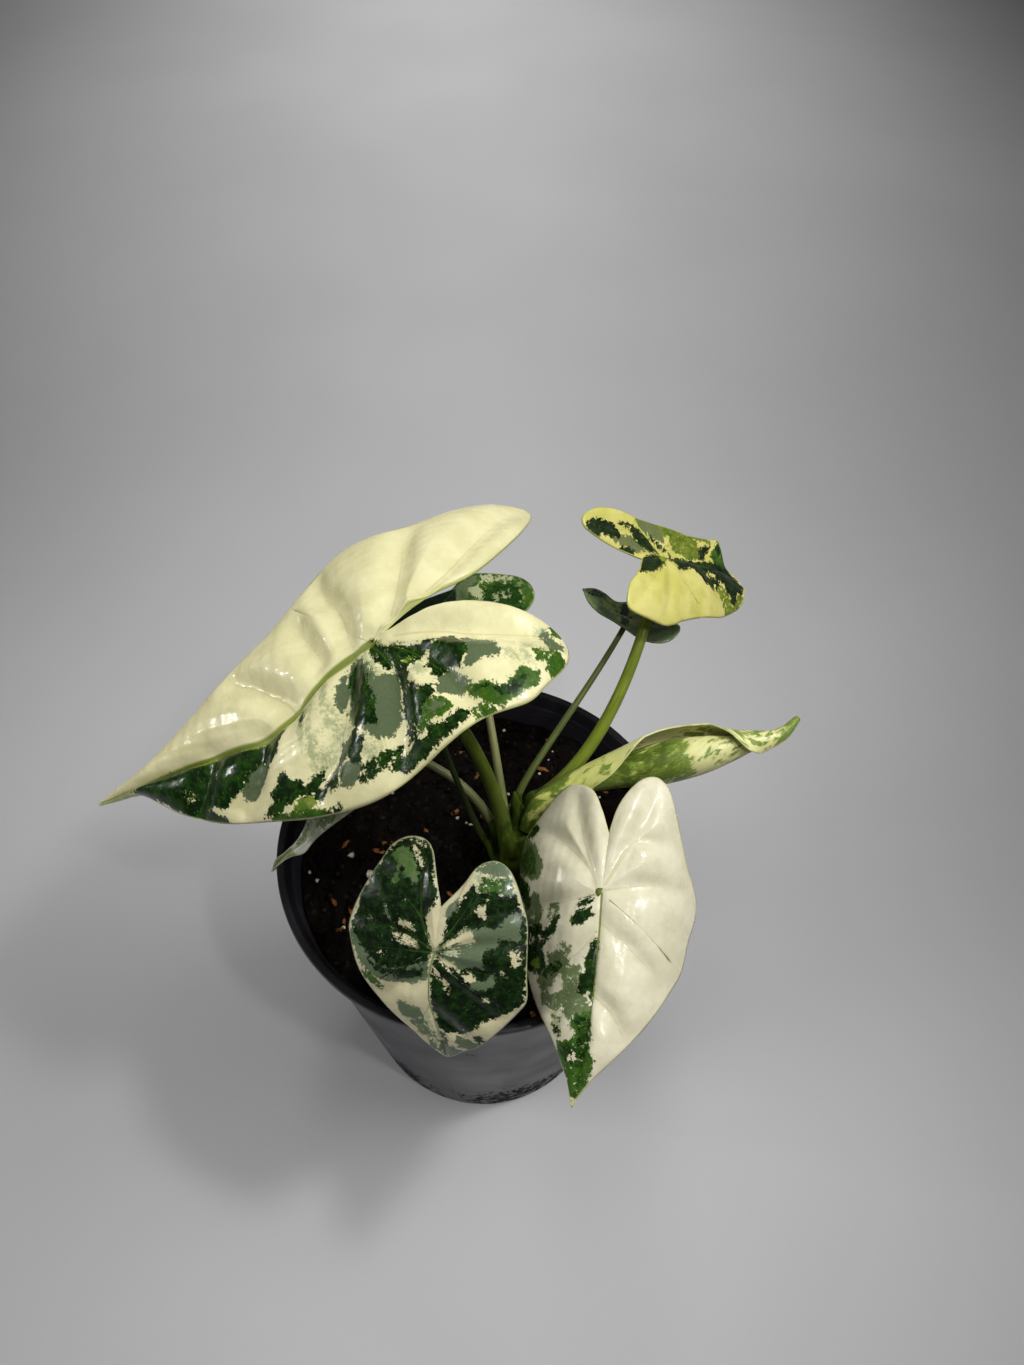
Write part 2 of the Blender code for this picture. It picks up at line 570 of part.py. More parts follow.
def soil_height(x, y):
    """The uneven top of the soil, a little lower at the wall."""
    swell = 0.9 * math.sin(0.11 * x + 1.3) * math.cos(0.093 * y - 0.4)
    lumps = 0.7 * math.sin(0.31 * x - 0.22 * y) + 0.5 * math.cos(0.27 * x + 0.41 * y + 2.0)
    return SOIL_TOP + swell + lumps - 1.5 * (math.hypot(x, y) / 73) ** 4


def make_soil(material, rng):
    """Packed soil with a hole for the crown; grains and chips stand half sunk in its top."""
    sides = SOIL_SIDES
    top_radius = inner_wall(SOIL_TOP - 4) - GAP
    points = []
    rings = []
    bottom = FLOOR_TOP + GAP
    for radius, z in ((0, bottom), (FOOT_RADIUS - 4.5, bottom),
                      (inner_wall(FLOOR_TOP + 2) - GAP - 0.6, bottom + 2.2), (top_radius, SOIL_TOP - 4)):
        if radius == 0:
            rings.append([0])
            points.append((0, 0, z))
            continue
        rings.append(list(range(len(points), len(points) + sides)))
        for k in range(sides):
            angle = 2 * math.pi * k / sides
            points.append((radius * math.cos(angle), radius * math.sin(angle), z))
    for share in (0.985, 0.93, 0.86, 0.78, 0.69, 0.6, 0.5, 0.4, 0.29, 0.18, 0.08):
        rings.append(list(range(len(points), len(points) + sides)))
        for k in range(sides):
            angle = 2 * math.pi * (k + 0.5 * (share * 100 % 2 > 1)) / sides
            x, y = share * top_radius * math.cos(angle), share * top_radius * math.sin(angle)
            points.append((x, y, soil_height(x, y)))
    rings.append([len(points)])
    points.append((0, 0, soil_height(0, 0)))
    faces = []
    for low, high in zip(rings, rings[1:]):
        for k in range(sides):
            after = (k + 1) % sides
            if len(low) == 1:
                faces.append((low[0], high[after], high[k]))
            elif len(high) == 1:
                faces.append((low[k], low[after], high[0]))
            else:
                faces.append((low[k], low[after], high[after]))
                faces.append((low[k], high[after], high[k]))
    soil = object_from("potting_soil", points, faces, material)
    lumps = []
    spots = list(GRAIN_SPOTS)
    while len(spots) < GRAINS:
        angle, radius = rng.uniform(0, 2 * math.pi), 66 * math.sqrt(rng.random())
        x, y = radius * math.cos(angle), radius * math.sin(angle)
        near_crown = math.hypot(x - CROWN_BASE[0], y - CROWN_BASE[1]) < 18
        if not near_crown and all(math.hypot(x - a, y - b) > GRAIN_SPACING for a, b in spots):
            spots.append((x, y))
    for k, (x, y) in enumerate(spots):
        size = rng.uniform(1.5, 2.7)
        work = bmesh.new()
        bmesh.ops.create_icosphere(work, subdivisions=1, radius=1.0)
        mesh = bpy.data.meshes.new("grain")
        work.to_mesh(mesh)
        work.free()
        grain = bpy.data.objects.new(f"grain {k}", mesh)
        bpy.context.scene.collection.objects.link(grain)
        flat = 0.45 if k % 3 == 2 else 0.85
        scale = Matrix.Diagonal((size * MM, size * MM * (1.7 if k % 3 == 2 else 0.9), size * MM * flat, 1))
        turn = Matrix.Rotation(rng.uniform(0, 3), 4, "Z") @ Matrix.Rotation(rng.uniform(-0.3, 0.3), 4, "X")
        place = Matrix.Translation((x * MM, y * MM, (soil_height(x, y) + 0.3 * size * flat - 0.3) * MM))
        mesh.transform(place @ turn @ scale)
        lumps.append(grain)
    combine(soil, lumps, "UNION")
    hole = object_from("crown hole", *prism(CROWN_HOLE_RADIUS, 60, 24), material, smooth=False)
    hole.data.transform(Matrix.Translation((CROWN_BASE[0] * MM, (CROWN_BASE[1] + 1.7) * MM,
                                            (CROWN_ROOT_Z - 2 + 30) * MM)))
    combine(soil, [hole], "DIFFERENCE")
    return soil


def main():
    for thing in list(bpy.data.objects):
        bpy.data.objects.remove(thing, do_unlink=True)
    rng = random.Random(7)
    make_pot(make_material("black nursery plastic", (0.02, 0.02, 0.022), 0.42))
    make_soil(make_material("potting mix", (0.018, 0.012, 0.009), 0.95), rng)
    make_crown(make_material("crown sheath green", (0.12, 0.19, 0.03), 0.45))
    colours = {
        "1": (0.72, 0.70, 0.42), "2": (0.12, 0.22, 0.05), "3": (0.42, 0.46, 0.12),
        "4": (0.10, 0.13, 0.08), "6": (0.66, 0.66, 0.45), "7": (0.04, 0.12, 0.02),
        "8": (0.45, 0.46, 0.38), "9": (0.02, 0.05, 0.02),
    }
    for key, leaf in LEAVES.items():
        make_blade(key, leaf, make_material(f"blade {key}", colours[key], 0.3))
        make_petiole(key, leaf, make_material(f"petiole {key}", (0.22, 0.30, 0.06), 0.4))
    make_furled_leaf(make_material("furled blade", (0.42, 0.48, 0.14), 0.35))


main()
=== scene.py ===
"""Looks of the potted variegated frydek alocasia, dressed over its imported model.

Lengths are in millimetres unless a name says otherwise; finished meshes are in metres.
"""
import json
import math
import random

import bmesh
import bpy
import numpy as np
from mathutils import Matrix, Vector

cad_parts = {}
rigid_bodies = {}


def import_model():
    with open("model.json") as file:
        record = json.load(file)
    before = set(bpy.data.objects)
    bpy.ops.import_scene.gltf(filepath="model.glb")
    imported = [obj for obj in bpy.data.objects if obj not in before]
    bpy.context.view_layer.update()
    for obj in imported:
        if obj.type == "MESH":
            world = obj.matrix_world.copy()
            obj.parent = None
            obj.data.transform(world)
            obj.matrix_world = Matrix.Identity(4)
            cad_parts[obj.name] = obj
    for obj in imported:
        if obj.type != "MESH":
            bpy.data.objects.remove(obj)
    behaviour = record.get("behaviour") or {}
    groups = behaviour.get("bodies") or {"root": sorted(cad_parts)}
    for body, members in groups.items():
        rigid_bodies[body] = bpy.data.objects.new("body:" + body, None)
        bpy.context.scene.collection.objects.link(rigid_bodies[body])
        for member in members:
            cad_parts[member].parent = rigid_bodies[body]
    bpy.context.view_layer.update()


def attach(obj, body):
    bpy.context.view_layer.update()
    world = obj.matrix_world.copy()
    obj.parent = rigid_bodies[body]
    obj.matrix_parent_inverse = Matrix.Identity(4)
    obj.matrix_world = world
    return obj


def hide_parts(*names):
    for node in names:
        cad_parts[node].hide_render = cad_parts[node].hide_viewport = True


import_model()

MM = 0.001
METRE = 1000.0  # in millimetres: METRE / size is the scale of a pattern drawn in the body's own metres

# Photograph's camera, worked out from the pot's rims and foot
PHOTO_SIZE = (1024, 1365)
FOCAL_PIXELS = 1025.0
CAMERA_PLACE = (0.0, -0.2115, 0.5147)
CAMERA_DOWN = 51.01  # degrees below the horizon
CAMERA_RIGHT = 3.82  # degrees from +Y towards +X

# Soft boxes: name, place and aim in metres, width and length, beam in degrees, power in watts, and
# whether they glint
SOFT_BOXES = [
    ("near overhead strip", (0.03, 0.1, 1.0), (0.03, 0.1, 0.0), 0.16, 1.1, 50.0, 0.34, False),
    ("far overhead strip", (0.03, 1.35, 1.5), (0.03, 1.35, 0.0), 0.2, 1.7, 66.0, 5.9, False),
    ("right soft box", (0.75, 0.05, 1.05), (-0.05, 0.0, 0.2), 0.8, 0.8, 60.0, 1.15, False),
    ("left soft box", (-0.95, -0.2, 0.75), (-0.02, 0.0, 0.1), 0.5, 0.5, 60.0, 0.6, False),
    ("right glint", (0.5, -0.05, 1.0), (0.04, -0.05, 0.2), 0.1, 0.1, 50.0, 0.26, True),
    ("left glint", (-1.0, 0.1, 0.5), (0.0, 0.0, 0.2), 0.08, 0.08, 50.0, 0.08, True),
    ("front glint", (0.36, -0.46, 1.1), (0.0, 0.0, 0.15), 0.06, 0.06, 60.0, 0.2, True),
]
WORLD_STRENGTH = 0.08
PAPER_HALF = 4000  # half the side of the paper floor
SENSOR = 36  # the camera's sensor along the photograph's longer side

# Pot
RIM_RADIUS = 80.0
POT_HEIGHT = 155.0
FOOT_RADIUS = 57.5
WALL = 1.4
WALL_INSET = 3.9  # how far the top of the wall stands inside the lip
FLOOR_TOP = 3.8
LIP_DEPTH = 5.0
WALL_FOOT_Z = FLOOR_TOP + 1.4  # where the inside of the wall starts
WALL_TOP_Z = POT_HEIGHT - LIP_DEPTH - 0.6  # and where it meets the lip
GRIP_RINGS = 26  # fine steps inside the top of the wall, every third one raised
GRIP_STEP = 0.9
GRIP_DEPTH = 0.22
POT_SIDES = 180
FEET = 6
FIRST_FOOT = -95.0  # bearing of the first foot in degrees
NOTCH_REACH = 32.0
NOTCH_WIDTH = 38.0
NOTCH_HEIGHT = 1.9
DRAIN_RADIUS = 4.5
DRAIN_INSET = 9.0  # from the foot's edge to the middle of a drain hole
DRAIN_DEPTH = 12.0
SHARP_ANGLE = 35.0  # degrees between faces from which an edge of the pot stays sharp

# Soil and crown
SOIL_TOP = 140.0
CROWN_BASE = (15.5, -15.0)
CROWN_TOP = (15.0, -7.0)
CROWN_ROOT_Z = 124.5
CROWN_NECK_Z = 178.0
CROWN_RINGS = [(0.0, 7.6), (0.2, 8.8), (0.36, 9.0), (0.55, 8.2), (0.78, 7.2), (0.9, 6.0)]  # share up, radius
SHEATH_TIP = [(15.5, -5.5, 168), (15.2, -4, 180), (15, -3, 187), (14.8, -2.2, 191)]
SHEATH_TIP_RADII = [(0, 2.4), (0.5, 2.0), (0.8, 1.2), (1, 0.4)]  # share up, radius
CROWN_VOXEL = 0.55  # size of the net that makes one skin of the crown's stalks
GAP = 0.4  # air between the soil and the pot
SOIL_DISH = 1.5  # how much lower the soil lies at the wall
SOIL_SIDES = 260
SOIL_RINGS = 84
CRUMB_WAVES = 26
CRUMB_HEIGHT = 0.45
GRAIN_REACH = 71.0  # how far out loose grains lie
CROWN_CLEAR = 9.5  # how far they keep from the crown's middle
CRUMBS = (1100, 0.5, 1.7)  # how many grains are strewn, and their least and largest radius
PERLITE = (60, 0.5, 1.3)
BARK = (46, 0.8, 2.0)
PERLITE_SPOTS = [(-44, -6, 2.2), (-52, 3, 1.6), (-34, -22, 1.7)]  # larger grains: x, y, radius
BARK_SPOTS = [(-28, 1, 2.2), (-51, -22, 2.2), (-9, 22, 1.8), (30, 40, 2.0)]

# Leaves
BLADE_THICKNESS = 0.62
LEAST_HALF_WIDTH = 0.35
CREASE_RADIUS = 2.5  # how far from the midrib a fold takes to open
SWAY_REACH = 15.0  # how far from the midrib its wandering fades
VEIN_LEAN = 0.75  # how far a lateral vein runs towards the tip for each millimetre outwards
MESH_STEP = 0.85  # distance between mesh points on a blade
JOINT_DROP = 0.35  # how far under the blade's middle a petiole ends
SHEATH_END = 0.10  # share of each petiole's line that belongs to the crown
STALK_STEPS = 72
STALK_SIDES = 24
BEND_STEPS = 24  # straight steps that a bend is summed up from
EDGE_RUNGS = 160  # points along one half's edge when distances are taken from it
VEIN_BOW = 0.06  # how far a lateral vein bows back, as a share of its reach
VALLEY_WIDTH = 1.8  # half width of the valley over a vein, and how much it grows with the quilt
VALLEY_GROWTH = 0.85
PUCKER_HEIGHT = 0.1
GROOVE_DEPTH = 0.35  # the midrib's groove above
GROOVE_WIDTH = 0.9
MIDRIB_DEPTH = 0.75  # how far the midrib stands out below, as a share of the petiole's radius
RIB_DEPTH = 0.35  # how far a lateral vein stands out below
RIB_WIDTH = 0.8
RIB_FADE = 2.5  # how far from the edge ribs fade out
VEIN_LINE = 0.42  # half width of a lateral vein's drawn line at the midrib

# Furled young leaf: centre line, radius of the roll along it
ROLL_LINE = [(18.6, -9.1, 174.2), (23, -5, 183.5), (30, -2, 187), (45.4, 1.5, 191), (69, 4.6, 196),
             (86, 5.6, 199), (102.3, 6, 202), (114.8, 7.6, 204), (122.7, 12.7, 207)]
ROLL_RADIUS = [2.2, 3.4, 5.0, 7.2, 9.2, 8.8, 6.2, 2.9, 0.9]
ROLL_SHEET = 0.6
ROLL_TURNS = (0.95, 1.4)  # how often the sheet goes round, where the roll is thin and where it is thick
# Where the sheet's free edge runs: share of the roll's length, and degrees from the top towards the front
FREE_EDGE = [(0, 150), (0.22, 120), (0.296, 64), (0.367, 36), (0.438, -4), (0.497, -40), (0.568, -52),
             (0.7, -50), (0.763, 0), (0.8, 55), (0.846, 105), (1, 115)]
FLAP_LIFT = [(0, 0), (0.4, 0.2), (0.55, 1.4), (0.7, 2.2), (0.8, 1.6), (0.9, 0.8), (1, 0)]
INNER_DROP = 0.34  # how far the second turn lies inside the first, as a share of the radius
ROLL_STEPS = 170
ROLL_ROUND = 110
# How green, pale and deep the roll is, by share of its length: on its outer turn, on its flap. Pale is the
# flap's cream and partly a painted highlight on it; deep is a darker olive at the base and painted shade
# inside the roll under the flap.
ROLL_PAINT = {
    "green": ([(0, 0.9), (0.15, 0.7), (0.3, 1.1), (0.52, 1.0), (0.6, 0.7), (0.63, -0.7), (0.8, -0.4),
               (1, 0.3)],
              [(0, 0.8), (0.12, 0.2), (0.25, -0.5), (0.6, -0.9), (0.68, 0.4), (0.72, -0.9), (0.78, 0.1),
               (1, 0.4)]),
    # Pale: cream tissue, and on the flap partly a painted highlight on its inner face
    "pale": ([(0, 0), (0.35, 0), (0.58, 0.1), (0.64, 0.8), (0.8, 0.7), (1, 0.4)],
             [(0, 0), (0.15, 0.1), (0.4, 0.4), (0.5, 1.0), (0.9, 0.7), (1, 0.3)]),
    # Deep: a darker olive at the base, and painted shade under the flap and on the inner turns
    "deep": ([(0, 0.7), (0.2, 0.45), (0.34, 0.2), (0.42, 0.8), (0.55, 0.8), (0.6, 0.1), (1, 0)],
             [(0, 0.8), (0.1, 0.45), (0.3, 0), (1, 0)]),
}

# Each leaf: the point where the petiole meets the blade, the direction of the tip (heading, rise and
# roll in degrees), the length before and behind that point, how the midrib bends, how far each half
# folds and curls, how far the midrib wanders sideways (along, across), and the half outlines from the
# tip round the rear lobe to the notch (across, along). A leaf with no left outline is the same on both.
LEAVES = {
    "1": dict(
        attach=(-30.8, 14.6, 257.5), heading=205, rise=-33.5, roll=16.3, length=150.5, back=64.5,
        droop=0, back_droop=59, sweep=42.3, twist=20.6,
        fold=(-14.2, 11.5), curl=(-11.2, -5.4), notch=4,
        sway=[(-4, 2), (0, 2.5), (10, 4), (21, 3.4), (30, 0.2), (38, -2.6), (46, -4.4), (55, -3), (63, -0.5),
              (76, 2.6), (92, 4.1), (106, 4.1), (118, 3), (132, 2.4), (150, 0.4)],
        right=[(5.6, 136), (9.6, 120), (17.5, 100), (24.2, 80), (31.5, 60), (37.5, 40), (44.5, 20),
               (48.8, 0), (46.8, -14), (43, -30), (46, -45), (49, -62), (47.3, -72.6), (34, -66.5),
               (20, -54.5), (9.5, -40), (6, -24), (3.6, -12)],
        left=[(-1, 136), (-1.2, 124), (0.8, 115), (10, 100), (20.3, 80), (29, 60), (38.7, 40), (46, 20),
              (48, 0), (47.7, -20), (47.4, -40), (42, -51), (34.5, -62), (28, -64.5), (20, -60),
              (12.5, -50), (5.5, -34), (1, -20), (-1, -8)],
        ribs=9, quilt=4.4, wave=0.6, midrib=2.2,
        petiole=((7.1, -3.4, 209.7), (-6.9, 9.0, 239.7)), base=(10.9, -14.5, 178), radii=(2.9, 2.0)),
    "2": dict(
        attach=(1.5, 57, 223), heading=188, rise=-18, roll=0, length=44, back=27,
        droop=15, back_droop=10, sweep=0, twist=0,
        fold=(8, 8), curl=(-15, -15), notch=7,
        sway=[(-22, -8), (-7, 0), (44, 0)],
        right=[(4, 36), (8.5, 27), (12, 18), (15, 10), (18, 4), (21.2, 0), (22.4, -4.5), (20.5, -9.5),
               (17, -16), (13, -22.5), (8, -26), (2, -26.8), (-3, -24.5), (-6.5, -20), (-4, -13)],
        left=[(3.5, 37), (9, 28), (14.5, 18), (18.5, 8), (20, -1), (19.5, -9), (16.5, -15.5), (13, -18.5),
              (9.5, -17.5), (5.5, -13.5)],
        ribs=5, quilt=0.6, wave=0.4, midrib=1.0,
        petiole=((9.0, 5.8, 198.7), (5.6, 35.9, 213.2)), base=(11.3, -8.8, 180), radii=(1.8, 1.3)),
    "3": dict(
        attach=(78.2, 69.3, 236.1), heading=22, rise=-28, roll=-4, length=52.2, back=38.2,
        droop=18, back_droop=6, sweep=3, twist=-11.7,
        fold=(18.8, -16.4), curl=(23.8, -27), notch=12,
        sway=[(-12, -0.8), (0, -2.8), (20, -2.2), (32, -3.4), (42, -2.4), (52, 0)],
        right=[(5, 49.3), (10, 46.7), (14, 41.5), (20, 28), (23.3, 8), (24.6, 1), (26.3, -4),
               (26.8, -11), (22.5, -23), (18.5, -27), (11, -24), (6.5, -18.5)],
        left=[(3.2, 47), (5, 41), (8, 39.2), (13, 37.8), (16.6, 35.5), (16, 31), (15.1, 19), (16.4, 4),
              (19, -7.5), (22, -17.2), (22, -26.8), (18.5, -34.4), (14, -35), (9.5, -29), (5, -20.5)],
        ribs=7, quilt=1.0, wave=0.5, midrib=0.6,
        petiole=((49, 5.5, 192), (68.5, 43.2, 219.4)), base=(21.5, 4.0, 173), radii=(2.9, 1.9)),
    "4": dict(
        attach=(65.3, 62.9, 212.2), heading=166, rise=16, roll=24, length=22.3, back=17.2,
        droop=-26, back_droop=-25, sweep=11, twist=0,
        fold=(-3.7, 12.9), curl=(-7, -3), notch=6,
        sway=[(-6, 0.6), (0, 0), (22, 0)],
        right=[(6.5, 18), (9.1, 12.5), (8.4, 6.5), (11.8, 0.7), (13.6, -4.8), (11.6, -15), (7, -18.2),
               (2.6, -12)],
        left=[(5.5, 18.4), (8, 13), (8.1, 7), (9.8, 1.5), (12.3, -3.4), (13.9, -9.5), (12.6, -15.6),
              (6.5, -20), (2, -19), (0, -13)],
        ribs=4, quilt=0.3, wave=0.2, midrib=0.6,
        petiole=((18.5, 6.5, 188), (47, 35.5, 201.5)), base=(16.5, 2.6, 179), radii=(1.6, 1.1)),
    "6": dict(
        attach=(41.4, -50.3, 198.7), heading=-100, rise=-24.3, roll=14.5, length=70.8, back=38,
        droop=11, back_droop=10, sweep=9, twist=-6,
        fold=(-9.6, -9.5), curl=(-47, -28.4), notch=20.5,
        sway=[(-20, -0.8), (0, 0), (30, -0.6), (50, -0.9), (60, 0.2), (71, 1)],
        right=[(2.6, 66), (5.2, 61), (13, 51.5), (21, 44.5), (27, 37.5), (31.5, 30), (34.5, 20), (37, 9),
               (40.5, 0), (43.3, -10), (41, -19), (32, -27.5), (20, -38), (13, -38.7), (7, -36),
               (2.8, -29)],
        left=[(1.2, 65.5), (5, 59), (11, 51.5), (20, 40.5), (27, 31), (33, 23), (36.3, 13), (41, 5),
              (41.8, -1), (38, -7), (33, -14), (29, -22.5), (25, -33), (21.5, -40), (16.5, -43.5),
              (11, -42), (6.5, -37), (3, -30)],
        ribs=7, quilt=2.4, wave=0.5, midrib=0.55,
        petiole=((24.1, -24.3, 180.5), (34.5, -39.4, 191.2)), base=(20.0, -17.6, 168), radii=(2.2, 1.6)),
    "7": dict(
        attach=(-15.7, -64.1, 191.1), heading=-93.6, rise=-43, roll=20, length=44, back=27.4,
        droop=33, back_droop=24, sweep=-5.6, twist=0,
        fold=(1, 4.5), curl=(-16, -8), notch=15,
        sway=[(-15, -1.4), (0, 0.4), (8, 3), (18, 4.2), (26, 3.4), (34, 2.4), (44, 3.6)],
        right=[(6.6, 39), (12, 31.5), (19, 24.5), (25, 16.5), (30, 8.5), (33.3, -1), (34, -6.5), (31, -15),
               (24.5, -26.5), (22.3, -30), (20, -34.5), (15, -37.8), (9, -37.6), (5, -34), (2, -26)],
        left=[(0.5, 42), (4, 39.7), (9, 38), (14, 34.5), (20, 30), (26, 24.5), (29.8, 19), (31, 5),
              (30.8, -10), (28.5, -19), (25.5, -26.5), (22, -30.8), (17.5, -32), (12.5, -29.3),
              (8, -22.4)],
        ribs=7, quilt=1.4, wave=0.6, midrib=0.6,
        petiole=((3.9, -28.8, 173.8), (-7.4, -49.2, 184.2)), base=(9.4, -19.0, 160), radii=(2.0, 1.4)),
    "8": dict(
        attach=(-33, 16, 199), heading=212, rise=-22, roll=0, length=68, back=26,
        droop=25, back_droop=40, sweep=0, twist=20,
        fold=(8, 8), curl=(-15, -15), notch=6,
        sway=[(20, 0), (36, -2.4), (48, -3.8), (56, -1.6), (68, 0)],
        right=[(1.1, 62), (-0.4, 56), (-1, 49), (0.8, 42), (5, 33), (9, 21), (12, 9), (12.7, -7),
               (9.4, -21), (6.5, -26), (3.6, -20), (1.4, -12)],
        left=[(1.3, 62), (3.4, 56.4), (6.8, 51), (6.9, 44), (8.4, 35), (11, 22), (13, 6), (12.7, -7),
              (9.4, -21), (6.5, -26), (3.6, -20), (1.4, -12)],
        ribs=5, quilt=0.4, wave=0.5, midrib=1.0,
        petiole=((1.4, 3.2, 187.4), (-16.0, 11.4, 194.5)), base=(6.7, -7.2, 172), radii=(2.0, 1.4)),
    "9": dict(
        attach=(-22.6, 32, 232), heading=64, rise=-2, roll=0, length=45, back=20,
        droop=15, back_droop=10, sweep=0, twist=0,
        fold=(8, 8), curl=(-15, -15), notch=5,
        sway=[(-5, 0), (45, 0)],
        right=[(2.7, 39), (7, 30), (12, 20), (15.6, 9), (17, 0), (15, -11), (12.2, -16), (8.5, -20),
               (4.8, -16), (1.7, -9)],
        ribs=5, quilt=0.4, wave=0.3, midrib=0.7,
        petiole=((-6.1, -5.1, 189.8), (-13, 18.2, 215.8)), base=(4.5, -11.8, 168), radii=(1.3, 1.0)),
}
